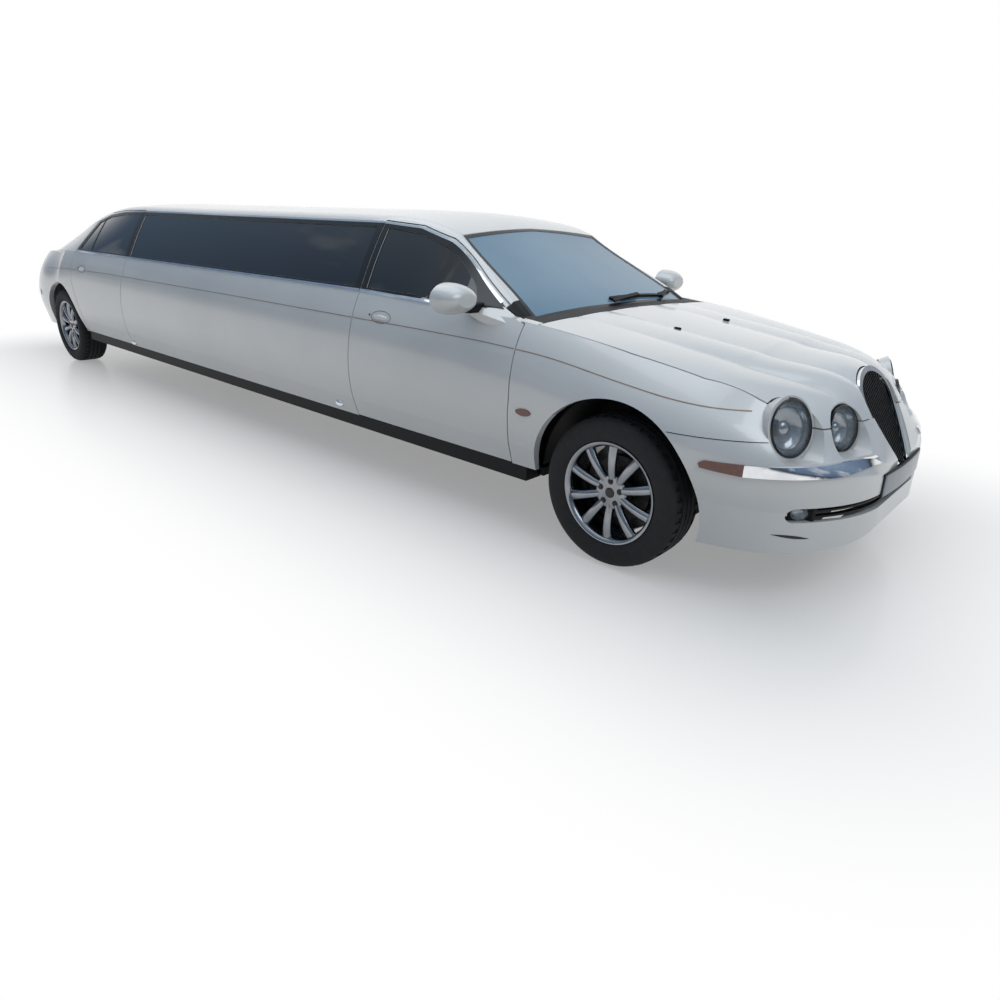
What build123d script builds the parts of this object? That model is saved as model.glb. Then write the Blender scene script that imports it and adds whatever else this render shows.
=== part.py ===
"""Stretch limousine with four oval lamps: a saloon cut behind its front doors and lengthened.
Millimetres, +X forward, +Y left, +Z up, origin on the ground under the middle of the car."""
import os
import math
from build123d import *

# Driving sizes
BASE_WHEELBASE = 2909.0
STRETCH = 3120.0
FRONT_OVERHANG = 905.0
REAR_OVERHANG = 1047.0
BLADE_T = 9.0
NOSE = FRONT_OVERHANG - 20.0
TAIL_END = REAR_OVERHANG - BLADE_T
LENGTH = FRONT_OVERHANG + BASE_WHEELBASE + STRETCH + REAR_OVERHANG
XF = LENGTH / 2 - FRONT_OVERHANG
XR = XF - BASE_WHEELBASE - STRETCH

TYRE_R = 326.0
TYRE_WIDTH = 225.0
RIM_R = 221.0
TRACK_HALF = 768.0
FRONT_ARCH_R = 402.0
REAR_ARCH_R = 390.0
KINGPIN_Y = 690.0
HUB_R = 36.0
KNUCKLE_END = 125.0
RADIATOR_Z = 330.0

GAP = 5.5
SEAT = 0.3
WALL = 95.0
SKIN = 38.0
FRAME = 22.0
FLANGE = 16.0

HALF_WIDTH = 905.0
MAX_Z = 610.0
BELT_Y = 805.0
BELT_Z = 1000.0
SILL_TOP = 325.0
SILL_LOW = 255.0
FLOOR_Z = 300.0
FLOOR_T = 40.0
SEAT_PAN_Z = 440.0
FIREWALL_X = -550.0
DIFF_R = SEAT_PAN_Z - TYRE_R - SEAT
RUN_FIT = 0.08
WING_SEAM = 648.0
BONNET_SEAM = 680.0
REAR_BUMPER_TOP = 612.0

# Where the panels end, measured from the front axle (F_) or the rear axle (R_)
F_BONNET_REAR = -478.0
F_DOOR_FRONT = -540.0
F_DOOR_REAR = -1692.0
F_BUMPER_REAR = 262.0
F_FIREWALL = -545.0
R_DOOR_FRONT = 1369.0
R_BOOT_FRONT = -352.0
R_BUMPER_FRONT = -300.0
R_CABIN_END = -60.0

VALLEY_1 = 0.30
VALLEY_2 = 0.62
RIDGE_H = 11.0

BODY_COLS = ("dx", "bottom_y", "bottom_z", "turn_y", "turn_z", "max_y", "max_z",
             "shoulder_y", "shoulder_z", "edge_y", "edge_z", "crown_z", "ridge")
MID_SHOULDER_Z = 830.0
SIDE_R = ((HALF_WIDTH - BELT_Y) ** 2 + (BELT_Z - MAX_Z) ** 2) / (2 * (HALF_WIDTH - BELT_Y))
MID_SHOULDER_Y = HALF_WIDTH - SIDE_R + math.sqrt(SIDE_R ** 2 - (MID_SHOULDER_Z - MAX_Z) ** 2)
MID_ROW = (848, SILL_TOP, 884, 430, HALF_WIDTH, MAX_Z, MID_SHOULDER_Y + 1.0, MID_SHOULDER_Z,
           BELT_Y, BELT_Z, BELT_Z + 8, 0.0)
F_MID = -1720.0
FRONT_BODY = [
    (F_MID,) + MID_ROW,
    (-1100, 848, SILL_TOP, 884, 430, 905, 610, 873, 828, 803, 990, 998, 0.0),
    (-600, 848, SILL_TOP, 884, 430, 905, 610, 868, 822, 785, 968, 990, 0.05),
    (-330, 848, SILL_TOP, 884, 430, 905, 610, 860, 812, 768, 940, 967, 0.25),
    (0, 848, SILL_TOP, 886, 430, 907, 600, 845, 790, 740, 893, 931, 0.6),
    (300, 826, 215, 868, 420, 888, 560, 815, 745, 700, 838, 894, 0.9),
    (500, 770, 215, 806, 400, 828, 540, 752, 700, 648, 786, 870, 1.0),
    (640, 700, 215, 722, 390, 742, 520, 672, 645, 570, 722, 845, 0.8),
    (740, 605, 220, 622, 385, 642, 500, 580, 585, 480, 655, 765, 0.3),
    (810, 500, 225, 512, 380, 530, 480, 480, 545, 390, 598, 650, 0.0),
    (860, 380, 235, 388, 375, 400, 465, 362, 510, 290, 548, 562, 0.0),
    (NOSE, 240, 260, 245, 370, 252, 455, 228, 485, 180, 508, 516, 0.0),
]
R_MID = 900.0
REAR_BODY = [
    (R_MID,) + MID_ROW,
    (400, 848, SILL_TOP, 884, 430, 905, 610, 874, 830, 803, 1000, 1008, 0.0),
    (0, 848, SILL_TOP, 884, 430, 905, 605, 868, 825, 790, 990, 1012, 0.0),
    (-400, 840, 300, 872, 425, 893, 590, 845, 810, 752, 965, 1014, 0.0),
    (-700, 800, 285, 832, 420, 852, 570, 800, 800, 702, 948, 1000, 0.0),
    (-870, 745, 285, 772, 415, 790, 550, 735, 775, 640, 914, 968, 0.0),
    (-962, 680, 290, 705, 410, 722, 530, 668, 735, 572, 860, 915, 0.0),
    (-1014, 590, 300, 612, 405, 628, 510, 572, 670, 480, 775, 828, 0.0),
    (-TAIL_END, 500, 310, 520, 400, 535, 490, 480, 600, 385, 680, 722, 0.0),
]
FRONT_GROUPS = ((0, 3), (2, 6), (5, 9), (8, 12))
REAR_GROUPS = ((0, 3), (2, 6), (5, 9))
HOUSE_COLS = ("dx", "belt_y", "belt_z", "rail_y", "rail_z", "top_y", "top_z", "crown_z")
HOUSE_BASE_Z = 880.0
HOUSE_BULGE = 9.0
MID_HOUSE = (BELT_Y, BELT_Z, 620, 1345, 555, 1385, 1421)
F_HOUSE_MID = -1900.0
FRONT_HOUSE = [
    (F_HOUSE_MID,) + MID_HOUSE,
    (-1650, 805, 999, 619, 1342, 555, 1382, 1416),
    (-1400, 805, 995, 615, 1325, 552, 1362, 1392),
    (-1184, 804, 991, 612, 1272, 555, 1305, 1327),
    (-900, 803, 984, 675, 1108, 627, 1140, 1172),
    (-600, 785, 935, 752, 946, 707, 970, 1013),
    (-520, 720, 900, 715, 906, 700, 916, 966),
]
R_HOUSE_MID = 1350.0
REAR_HOUSE = [
    (R_HOUSE_MID,) + MID_HOUSE,
    (1000, 805, 1000, 618, 1338, 552, 1377, 1413),
    (700, 804, 1000, 610, 1312, 540, 1349, 1385),
    (400, 800, 1000, 612, 1257, 540, 1291, 1326),
    (150, 795, 997, 630, 1182, 555, 1213, 1246),
    (-100, 785, 990, 655, 1095, 585, 1122, 1152),
    (-330, 755, 960, 690, 998, 630, 1018, 1046),
    (-450, 720, 900, 705, 915, 650, 932, 960),
]
FRONT_HOUSE_GROUPS = ((0, 4), (3, 7))
REAR_HOUSE_GROUPS = ((0, 4), (3, 8))


def body_section(x, row, inset=0.0):
    """Closed half-and-half outline of the body below the waist at one station."""
    r = dict(zip(BODY_COLS[1:], row))
    low = r["bottom_z"] - (60.0 if inset else 0.0)
    bottom_y, turn_y = r["bottom_y"] - inset, r["turn_y"] - inset
    max_y, shoulder_y = r["max_y"] - inset, r["shoulder_y"] - inset
    edge_y, edge_z = r["edge_y"] - inset, r["edge_z"] - 0.75 * inset
    crown_z = r["crown_z"] - 0.75 * inset
    sag = crown_z - edge_z
    bump = RIDGE_H * r["ridge"]
    valley_1, valley_2 = VALLEY_1 * edge_y, VALLEY_2 * edge_y

    def top(y, lift):
        return (y, crown_z - sag * (y / edge_y) ** 2 + lift)

    with BuildSketch(Plane.YZ.offset(x)) as outline:
        with BuildLine():
            Line((-bottom_y, low), (bottom_y, low))
            for side in (1, -1):
                def at(point):
                    return (side * point[0], point[1])
                shoulder_z = r["shoulder_z"] - 0.4 * inset
                Line(at((bottom_y, low)), at((turn_y, r["turn_z"])))
                TangentArc(at((max_y, r["max_z"])), at((turn_y, r["turn_z"])), tangent=(0, -1))
                flank = TangentArc(at((max_y, r["max_z"])), at((shoulder_y, shoulder_z)), tangent=(0, 1))
                TangentArc(at((shoulder_y, shoulder_z)), at((edge_y, edge_z)), tangent=flank % 1)
                ThreePointArc(at((edge_y, edge_z)), at(top((edge_y + valley_2) / 2, bump)),
                              at(top(valley_2, -bump)))
                ThreePointArc(at(top(valley_2, -bump)), at(top((valley_1 + valley_2) / 2, bump)),
                              at(top(valley_1, -bump)))
            v1 = top(valley_1, -bump)
            ThreePointArc(v1, (0, crown_z + bump), (-v1[0], v1[1]))
        make_face()
    return outline.sketch


def house_section(x, row, inset=0.0):
    """Closed outline of the glasshouse at one station, its foot sunk in the body."""
    r = dict(zip(HOUSE_COLS[1:], row))
    belt = (r["belt_y"] - 1.15 * inset, r["belt_z"])
    rail = (r["rail_y"] - 1.1 * inset, r["rail_z"] - 0.35 * inset)
    top = (r["top_y"] - 0.7 * inset, r["top_z"] - inset)
    base_z = HOUSE_BASE_Z - inset
    crown_z = r["crown_z"] - inset
    run = math.hypot(belt[0] - rail[0], rail[1] - belt[1])
    bulge = HOUSE_BULGE * min(1.0, run / 390.0) ** 2
    mid = ((belt[0] + rail[0]) / 2 + bulge * (rail[1] - belt[1]) / run,
           (belt[1] + rail[1]) / 2 + bulge * (belt[0] - rail[0]) / run)
    with BuildSketch(Plane.YZ.offset(x)) as outline:
        with BuildLine():
            Line((-belt[0], base_z), (belt[0], base_z))
            for side in (1, -1):
                def at(point):
                    return (side * point[0], point[1])
                Line(at((belt[0], base_z)), at(belt))
                pane = ThreePointArc(at(belt), at(mid), at(rail))
                TangentArc(at(rail), at(top), tangent=pane % 1)
            ThreePointArc(top, (0, crown_z), (-top[0], top[1]))
        make_face()
    return outline.sketch


def side_prism(points, y_from, y_to, grow=0.0, radius=0.0):
    """Prism along Y with an outline given as (x, z) points."""
    with BuildPart() as prism:
        with BuildSketch(Plane.XZ.offset(-y_from)) as outline:
            Polygon(*points, align=None)
            if radius:
                fillet(outline.vertices(), radius)
            if grow:
                offset(amount=grow, kind=Kind.INTERSECTION)
        extrude(amount=-(y_to - y_from))
    return prism.part


def plan_prism(points, z_from, z_to, grow=0.0):
    """Prism along Z with an outline given as (x, y) points."""
    with BuildPart() as prism:
        with BuildSketch(Plane.XY.offset(z_from)):
            Polygon(*points, align=None)
            if grow:
                offset(amount=grow, kind=Kind.INTERSECTION)
        extrude(amount=z_to - z_from)
    return prism.part


def front_prism(y, z, half_y, half_z, x_from, x_to, grow=0.0):
    """Elliptical prism along X."""
    with BuildPart() as prism:
        with BuildSketch(Plane.YZ.offset(x_from)):
            with Locations((y, z)):
                Ellipse(half_y + grow, half_z + grow)
        extrude(amount=x_to - x_from)
    return prism.part


def block(x_from, x_to, y_from, y_to, z_from, z_to):
    with BuildPart() as solid:
        with Locations(((x_from + x_to) / 2, (y_from + y_to) / 2, (z_from + z_to) / 2)):
            Box(abs(x_to - x_from), abs(y_to - y_from), abs(z_to - z_from))
    return solid.part


def rod(x, y_from, y_to, z, radius):
    """Cylinder along Y."""
    with BuildPart() as solid:
        with BuildSketch(Plane.XZ.offset(-y_from)):
            with Locations((x, z)):
                Circle(radius)
        extrude(amount=-(y_to - y_from))
    return solid.part


def loft_run(rows, origin, section, inset=0.0):
    """One smooth loft over a short run of stations."""
    with BuildPart() as run:
        for row in rows:
            add(section(origin + row[0], row[1:], inset))
        loft()
    return run.part


def straight(section, row, x_from, x_to, inset=0.0):
    with BuildPart() as run:
        add(section(x_from, row, inset))
        extrude(amount=x_to - x_from, dir=(1, 0, 0))
    return run.part


def moved(part, dx=0.0, dy=0.0, dz=0.0):
    return part.moved(Location((dx, dy, dz)))


def common(first, *others):
    """What the first solid shares with each of the others."""
    with BuildPart() as result:
        add(first)
        for other in others:
            add(other, mode=Mode.INTERSECT)
    return result.part


def without(first, *others):
    """The first solid with the others cut out of it."""
    with BuildPart() as result:
        add(first)
        for other in others:
            add(other, mode=Mode.SUBTRACT)
    return result.part


def joined(*solids):
    with BuildPart() as result:
        for solid in solids:
            add(solid)
    return result.part


def mirrored(part):
    with BuildPart() as result:
        mirror(part, about=Plane.XZ)
    return result.part


def both(part):
    with BuildPart() as result:
        add(part)
        mirror(part, about=Plane.XZ)
    return result.part


NODES = {}


def keep(name, part):
    part.label = name
    NODES[name] = part


# Each lamp faces forward on a plane of its own, turned outwards and tipped up
LAMP_COLS = ("x", "y", "z", "half_y", "half_z", "yaw", "pitch")
LAMPS = [(622, 620, 690, 100, 110, 24.0, 13.0), (722, 360, 663, 80, 90, 20.0, 12.0)]
POD_RIM = 13.0
DISH_SKIN = 14.0
BLADE_Z = (528.0, 572.0)
INTAKE = (0, 377, 690, 30)
FOG = (640, 377, 36, 29.7)


def lamp_cone(near, near_grow, far, far_grow):
    """For all four lamps, the run between two ovals set off from the lamp's plane."""
    with BuildPart() as cones:
        for lamp in LAMPS:
            v = dict(zip(LAMP_COLS, lamp))
            yaw, pitch = math.radians(v["yaw"]), math.radians(v["pitch"])
            for side in (1, -1):
                facing = (math.cos(pitch) * math.cos(yaw), side * math.cos(pitch) * math.sin(yaw), math.sin(pitch))
                plane = Plane(origin=(XF + v["x"], side * v["y"], v["z"]),
                              x_dir=(-side * math.sin(yaw), math.cos(yaw), 0), z_dir=facing)
                with BuildPart() as cone:
                    for level, grow in ((near, near_grow), (far, far_grow)):
                        with BuildSketch(plane.offset(level)):
                            Ellipse(v["half_y"] + grow, v["half_z"] + grow)
                    loft()
                add(cone.part)
    return cones.part


# Outer form and the hollows inside it
body_form = joined(*[loft_run(FRONT_BODY[a:b], XF, body_section) for a, b in FRONT_GROUPS],
                   straight(body_section, MID_ROW, XR + R_MID, XF + F_MID),
                   *[loft_run(REAR_BODY[a:b], XR, body_section) for a, b in REAR_GROUPS])
def above_blade(solid, margin):
    return common(solid, block(XF, XF + 1200, -1000, 1000, BLADE_Z[1] + margin, 1500))


lamp_dishes = above_blade(lamp_cone(-1, POD_RIM - 0.5, 130, 80), 5.0)
dish_backs = above_blade(lamp_cone(-1 - DISH_SKIN, POD_RIM - 0.5 + DISH_SKIN, 130, 80 + DISH_SKIN), 5.0 - DISH_SKIN)
lamp_pods = lamp_cone(0, POD_RIM, -330, -40)
BAY_GROUPS = ((2, 6), (5, 9), (8, 10))
house_form = joined(*[loft_run(FRONT_HOUSE[a:b], XF, house_section) for a, b in FRONT_HOUSE_GROUPS],
                    straight(house_section, MID_HOUSE, XR + R_HOUSE_MID, XF + F_HOUSE_MID),
                    *[loft_run(REAR_HOUSE[a:b], XR, house_section) for a, b in REAR_HOUSE_GROUPS])
bay_hollow = without(joined(*[loft_run(FRONT_BODY[a:b], XF, body_section, SKIN) for a, b in BAY_GROUPS]), dish_backs)
nose_solid = joined(without(body_form, lamp_dishes), lamp_pods)
boot_hollow = joined(*[loft_run(REAR_BODY[a:b], XR, body_section, SKIN) for a, b in ((2, 6), (5, 7))])
cabin_hollow = straight(body_section, MID_ROW, XR + R_CABIN_END, XF + F_FIREWALL, WALL)
house_hollow = joined(*[loft_run(FRONT_HOUSE[a:b], XF, house_section, FRAME) for a, b in FRONT_HOUSE_GROUPS],
                      straight(house_section, MID_HOUSE, XR + R_HOUSE_MID, XF + F_HOUSE_MID, FRAME),
                      *[loft_run(REAR_HOUSE[a:b], XR, house_section, FRAME) for a, b in REAR_HOUSE_GROUPS])
WELL_COLS = ("x", "inner_y", "liner_y", "radius")
WELLS = [(XF, 452.0, 789.8, FRONT_ARCH_R), (XR, 560.0, 768.4, REAR_ARCH_R)]
arches = joined(*[rod(x, side * inner, side * 1000.0, TYRE_R, radius)
                  for x, inner, liner, radius in WELLS for side in (1, -1)])
shell = without(joined(nose_solid, house_form), bay_hollow, boot_hollow, cabin_hollow, house_hollow, arches)
RIGHT = block(-LENGTH, LENGTH, -1500, 0, -100, 2000)
FAR = 1500.0


def f(points):
    return [(XF + x, z) for x, z in points]


def r(points):
    return [(XR + x, z) for x, z in points]


# Shut lines, seen from the side
DOOR_LOW = SILL_TOP + GAP
front_door_line = f([(-548, DOOR_LOW), (-532, 640), (-548, 952), (-640, 980), (-900, 1119), (-1184, 1283),
                     (-1400, 1337), (F_DOOR_REAR, 1354), (F_DOOR_REAR, DOOR_LOW)])
rear_door_line = r([(R_DOOR_FRONT, DOOR_LOW), (R_DOOR_FRONT, 1354), (1000, 1348), (700, 1322), (440, 1267),
                    (275, 1005), (282, 880), (330, 745), (400, 630), (445, 500), (460, DOOR_LOW)])
centre_line = [(XF + F_DOOR_REAR - GAP, SILL_TOP), (XF + F_DOOR_REAR - GAP, 1354),
               (XR + R_DOOR_FRONT + GAP, 1354), (XR + R_DOOR_FRONT + GAP, SILL_TOP)]
front_pane_line = f([(-850, 1014), (-915, 1074), (-1184, 1241), (-1400, 1300), (-1648, 1321), (-1648, 1020)])
centre_pane_line = [(XF - 1745, 1020), (XF - 1745, 1322), (XR + 1415, 1322), (XR + 1415, 1020)]
rear_pane_line = r([(1322, 1020), (1322, 1321), (1000, 1315), (700, 1290), (492, 1242), (345, 1020)])
DOOR_Y = (-FAR, -575.0)
front_door_hole = side_prism(front_door_line, *DOOR_Y, grow=GAP)
rear_door_hole = side_prism(rear_door_line, *DOOR_Y, grow=GAP)
centre_tool = side_prism(centre_line, *DOOR_Y)

# Outlines seen from above
bonnet_line = [(XF + x, side * y) for side in (1, -1) for x, y in
               ([(F_BONNET_REAR, 770), (0, 740), (300, 700), (500, 648), (600, 610), (950, 600)][::side])]
screen_line = [(XF - 575, 680), (XF - 1180, 548), (XF - 1208, 0), (XF - 1180, -548), (XF - 575, -680), (XF - 550, 0)]
back_line = [(XR + 655, 0), (XR + 640, 495), (XR - 205, 585), (XR - 222, 0), (XR - 205, -585), (XR + 640, -495)]
boot_line = [(XR + x, side * y) for side in (1, -1) for x, y in
             ([(R_BOOT_FRONT, 692), (-560, 676), (-900, 485), (-1100, 480)][::side])]
bonnet_tool = plan_prism(bonnet_line, BONNET_SEAM + GAP, FAR)
bonnet_hole = plan_prism(bonnet_line, WING_SEAM, FAR, grow=GAP)
boot_tool = plan_prism(boot_line, REAR_BUMPER_TOP + GAP, FAR)
boot_hole = plan_prism(boot_line, REAR_BUMPER_TOP, FAR, grow=GAP)
CREST_Y = 600.0
front_bumper_tool = joined(block(XF + F_BUMPER_REAR, XF + 1000, -FAR, FAR, 0, WING_SEAM),
                           block(XF + 500, XF + 1000, -CREST_Y, CREST_Y, WING_SEAM - 10, BONNET_SEAM))
front_bumper_hole = joined(block(XF + F_BUMPER_REAR - SEAT, XF + 1000, -FAR, FAR, 0, WING_SEAM + SEAT),
                           block(XF + 400, XF + 1000, -CREST_Y - SEAT, CREST_Y + SEAT, WING_SEAM - 10, FAR))
rear_bumper_tool = block(XR - 1200, XR + R_BUMPER_FRONT, -FAR, FAR, 0, REAR_BUMPER_TOP)
rear_bumper_hole = block(XR - 1200, XR + R_BUMPER_FRONT + SEAT, -FAR, FAR, 0, REAR_BUMPER_TOP + SEAT)
screen_hole = plan_prism(screen_line, 900, FAR)
back_hole = plan_prism(back_line, 900, FAR)
scuttle_tool = block(XF - 700, XF + F_BONNET_REAR - GAP, -735, 735, 840, 1040)
scuttle_hole = block(XF - 700, XF + F_BONNET_REAR, -735 - SEAT, 735 + SEAT, 840, 1040 + SEAT)
deck_tool = block(XR + R_BOOT_FRONT + GAP, XR - 198, -560, 560, 850, 1160)
deck_hole = block(XR + R_BOOT_FRONT, XR - 198 + SEAT, -560 - SEAT, 560 + SEAT, 850, 1160 + SEAT)

# Grille and lamp openings
lamp_holes = lamp_cone(-130, SEAT, 90, SEAT)
lamp_clear = lamp_cone(-130, GAP, 90, GAP)
# The grille lies on a raked plane; its outline is given across and up that plane
GRILLE_RAKE = 30.0
GRILLE_LINE = [(0, -222), (69, -182), (160, 60), (118, 160), (0, 195)]
GRILLE_RIM = 24.0
GRILLE_PROUD = 14.0
RAKE_SIN = math.sin(math.radians(GRILLE_RAKE))
RAKE_COS = math.cos(math.radians(GRILLE_RAKE))
GRILLE_X = XF + FRONT_OVERHANG - (GRILLE_RIM - GRILLE_LINE[0][1]) * RAKE_SIN - GRILLE_PROUD * RAKE_COS
GRILLE_PLANE = Plane(origin=(GRILLE_X, 0, 656.0), x_dir=(0, 1, 0), z_dir=(RAKE_COS, 0, RAKE_SIN))


def grille_prism(grow, low, high, straight_sides=False):
    """Egg outline, narrow end down; straight sides carry its widest part on downwards."""
    with BuildPart() as prism:
        with BuildSketch(GRILLE_PLANE.offset(low)) as outline:
            with BuildLine():
                for side in (1, -1):
                    heading = Vector(side, 0, 0)
                    for start, end in zip(GRILLE_LINE, GRILLE_LINE[1:]):
                        arc = TangentArc((side * start[0], start[1]), (side * end[0], end[1]), tangent=heading)
                        heading = arc % 1
            make_face()
            if straight_sides:
                with Locations((0, GRILLE_LINE[0][1] / 2)):
                    Rectangle(2 * GRILLE_LINE[2][0], 2 * GRILLE_LINE[2][1] - GRILLE_LINE[0][1])
            offset(amount=grow)
        extrude(amount=high - low)
    return prism.part


grille_hole = grille_prism(GRILLE_RIM + SEAT, -260, 200)
grille_clear = grille_prism(GRILLE_RIM + GAP, -260, 200, straight_sides=True)

# Panels
front_shell = common(shell, block(XF - 700, XF + 1000, -FAR, FAR, 0, FAR))
rear_shell = common(shell, block(XR - 1200, XR + 500, -FAR, FAR, 0, FAR))
right_shell = common(shell, RIGHT)
keep("bonnet", without(common(front_shell, bonnet_tool), lamp_clear, grille_clear))
front_cover = without(common(front_shell, front_bumper_tool), lamp_holes, grille_hole)
wing = without(common(front_shell, RIGHT, block(XF + F_DOOR_FRONT - 60, XF + 1000, -FAR, 0, 0, 1010)),
               bonnet_hole, front_bumper_hole, scuttle_hole, front_door_hole, lamp_holes,
               block(XF - 700, XF, -FAR, 0, 0, SILL_TOP))
keep("wing_right", wing)
keep("wing_left", mirrored(wing))

def intake_prism(grow):
    """Long slot with round ends across the bumper."""
    with BuildPart() as prism:
        with BuildSketch(Plane.YZ.offset(XF + 500)):
            with Locations(INTAKE[:2]):
                SlotOverall(2 * (INTAKE[2] + grow), 2 * (INTAKE[3] + grow))
        extrude(amount=500)
    return prism.part


intake_hole = intake_prism(0.0)
BUFFER_T = GAP - SEAT
front_buffers = both(block(XF + 740, XF + 760, -262, -232, BONNET_SEAM - 2, BONNET_SEAM + BUFFER_T))
keep("front_bumper", joined(without(front_cover, intake_hole), front_buffers))

scuttle = without(common(front_shell, scuttle_tool), screen_hole)
keep("scuttle", scuttle)

DOOR_RELIEF = 30.0
relief_form = joined(straight(body_section, MID_ROW, XR, XF + F_MID, FLANGE),
                     straight(house_section, MID_HOUSE, XR, XF + F_MID, FLANGE))


cowl_side = block(XF - 700 - GAP, XF, -735 - GAP, 0, 840, 1040)


def door(line, pane_line, rear_x):
    """One side door: the full wall inside its shut line, with a thin flange at its trailing edge."""
    leaf = common(right_shell, side_prism(line, *DOOR_Y))
    leaf = without(leaf, side_prism(pane_line, *DOOR_Y), cowl_side)
    edge = common(relief_form, block(rear_x - 60, rear_x + DOOR_RELIEF, -FAR, 0, 600, FAR))
    return without(leaf, edge)


front_door = door(front_door_line, front_pane_line, XF + F_DOOR_REAR)
rear_door = door(rear_door_line, rear_pane_line, XR + 282)
keep("front_door_right", front_door)
keep("front_door_left", mirrored(front_door))
keep("rear_door_right", rear_door)
keep("rear_door_left", mirrored(rear_door))

centre_panel = without(common(right_shell, centre_tool), side_prism(centre_pane_line, *DOOR_Y))
keep("centre_panel_right", centre_panel)
keep("centre_panel_left", mirrored(centre_panel))

HATCH = (XF - 4250.0, XF - 3650.0, -330.0, 330.0)
hatch_tool = block(*HATCH, 1300, FAR)
hatch_hole = block(HATCH[0] - SEAT, HATCH[1] + SEAT, HATCH[2] - SEAT, HATCH[3] + SEAT, 1300, FAR)
roof_line = [(XF - 650, 985), (XF - 560, 1042), (XF - 560, FAR), (XR + 430, FAR), (XR + 430, 1262), (XR + 310, 1040)]
upper_shell = common(shell, side_prism(roof_line, -FAR, FAR))
openings = joined(front_door_hole, rear_door_hole, side_prism(centre_line, *DOOR_Y, grow=SEAT))
keep("roof", without(upper_shell, openings, mirrored(openings), screen_hole, back_hole, scuttle_hole, hatch_hole))
keep("roof_hatch", common(upper_shell, hatch_tool))

quarter = without(common(rear_shell, RIGHT), rear_door_hole, boot_hole, rear_bumper_hole, back_hole, deck_hole,
                  side_prism(roof_line, -FAR, FAR, grow=SEAT), block(XR, XR + 500, -FAR, 0, 0, SILL_TOP))
TAIL = (640, 742, 118, 88)
tail_hole = front_prism(-TAIL[0], TAIL[1], TAIL[2], TAIL[3], XR - 1100, XR - 700, SEAT)
keep("quarter_right", without(quarter, tail_hole))
keep("quarter_left", mirrored(without(quarter, tail_hole)))
tail_clear = front_prism(-TAIL[0], TAIL[1], TAIL[2], TAIL[3], XR - 1100, XR - 700, GAP)
keep("boot_lid", without(common(rear_shell, boot_tool), tail_clear, mirrored(tail_clear)))
rear_buffers = both(block(XR - TAIL_END + 22, XR - TAIL_END + 46, -262, -232,
                          REAR_BUMPER_TOP - 2, REAR_BUMPER_TOP + BUFFER_T))
keep("rear_bumper", joined(common(rear_shell, rear_bumper_tool), rear_buffers))
keep("rear_deck", without(common(rear_shell, deck_tool), back_hole))

# Glass
def pane(line):
    slab = common(moved(house_form, dy=4.0), side_prism(line, *DOOR_Y, grow=-SEAT))
    return without(slab, moved(house_form, dy=10.0))


for name, line in (("front", front_pane_line), ("rear", rear_pane_line)):
    glass = pane(line)
    keep(f"{name}_door_glass_right", glass)
    keep(f"{name}_door_glass_left", mirrored(glass))
keep("centre_windows", both(pane(centre_pane_line)))
keep("windscreen", without(common(moved(house_form, dx=-8.0), plan_prism(screen_line, 900, FAR, grow=-SEAT)),
                           moved(house_form, dx=-20.0)))
keep("rear_window", without(common(moved(house_form, dx=8.0), plan_prism(back_line, 900, FAR, grow=-SEAT)),
                            moved(house_form, dx=20.0)))

# Lamps, grille and bright parts on the nose and tail
nose_form = common(body_form, block(XF + 300, XF + 1000, -FAR, FAR, 0, FAR))
tail_form = common(body_form, block(XR - 1200, XR - 500, -FAR, FAR, 0, FAR))


def front_layer(tool, outer_dx, inner_dx):
    return without(common(moved(nose_form, dx=outer_dx), tool), moved(nose_form, dx=inner_dx))


fog_tools = joined(*[front_prism(side * FOG[0], *FOG[1:], XF + 500, XF + 1000) for side in (1, -1)])
keep("lamp_lenses", joined(lamp_cone(-14, 0, -2, 0), lamp_cone(-2, 0, 8, -16), front_layer(fog_tools, -6.0, -30.0)))
keep("headlamp_bowls", without(lamp_cone(-14 - SEAT, -1, -72, -38), lamp_cone(-14, -5, -68, -42)))

keep("grille", without(grille_prism(GRILLE_RIM, -26, GRILLE_PROUD), grille_prism(0.0, -40, 40)))
BAR_PITCH = 20.5
with BuildPart() as bars:
    with BuildSketch(GRILLE_PLANE.offset(-20)):
        with GridLocations(BAR_PITCH, 1, 15, 1):
            Rectangle(8, 460)
    extrude(amount=24)
bar_field = common(bars.part, grille_prism(-SEAT, -40, 40))
SLAT_HALF = 4.0
fog_edge = FOG[0] - FOG[2] - 10.0
slat_field = joined(*[block(XF + 500, XF + 1000, -fog_edge, fog_edge, z - SLAT_HALF, z + SLAT_HALF)
                      for z in (INTAKE[1] - 12, INTAKE[1] + 12)],
                    *[block(XF + 500, XF + 1000, side * fog_edge - 5, side * fog_edge + 5, INTAKE[1] - INTAKE[3] + SEAT,
                            INTAKE[1] + INTAKE[3] - SEAT) for side in (1, -1)])
slats = front_layer(slat_field, -10.0, -34.0)
keep("grille_bars", joined(bar_field, slats))

MARKER_X = 545.0
BLADE_MID = (BLADE_Z[0] + BLADE_Z[1]) / 2


def front_blade(line):
    """A raised strip on the bumper, its outline given as (x, z) points seen from the side."""
    strip = side_prism(f(line), -FAR, -292)
    return without(common(moved(nose_form, BLADE_T, -7.0), strip), moved(nose_form, SEAT, -SEAT))


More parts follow.
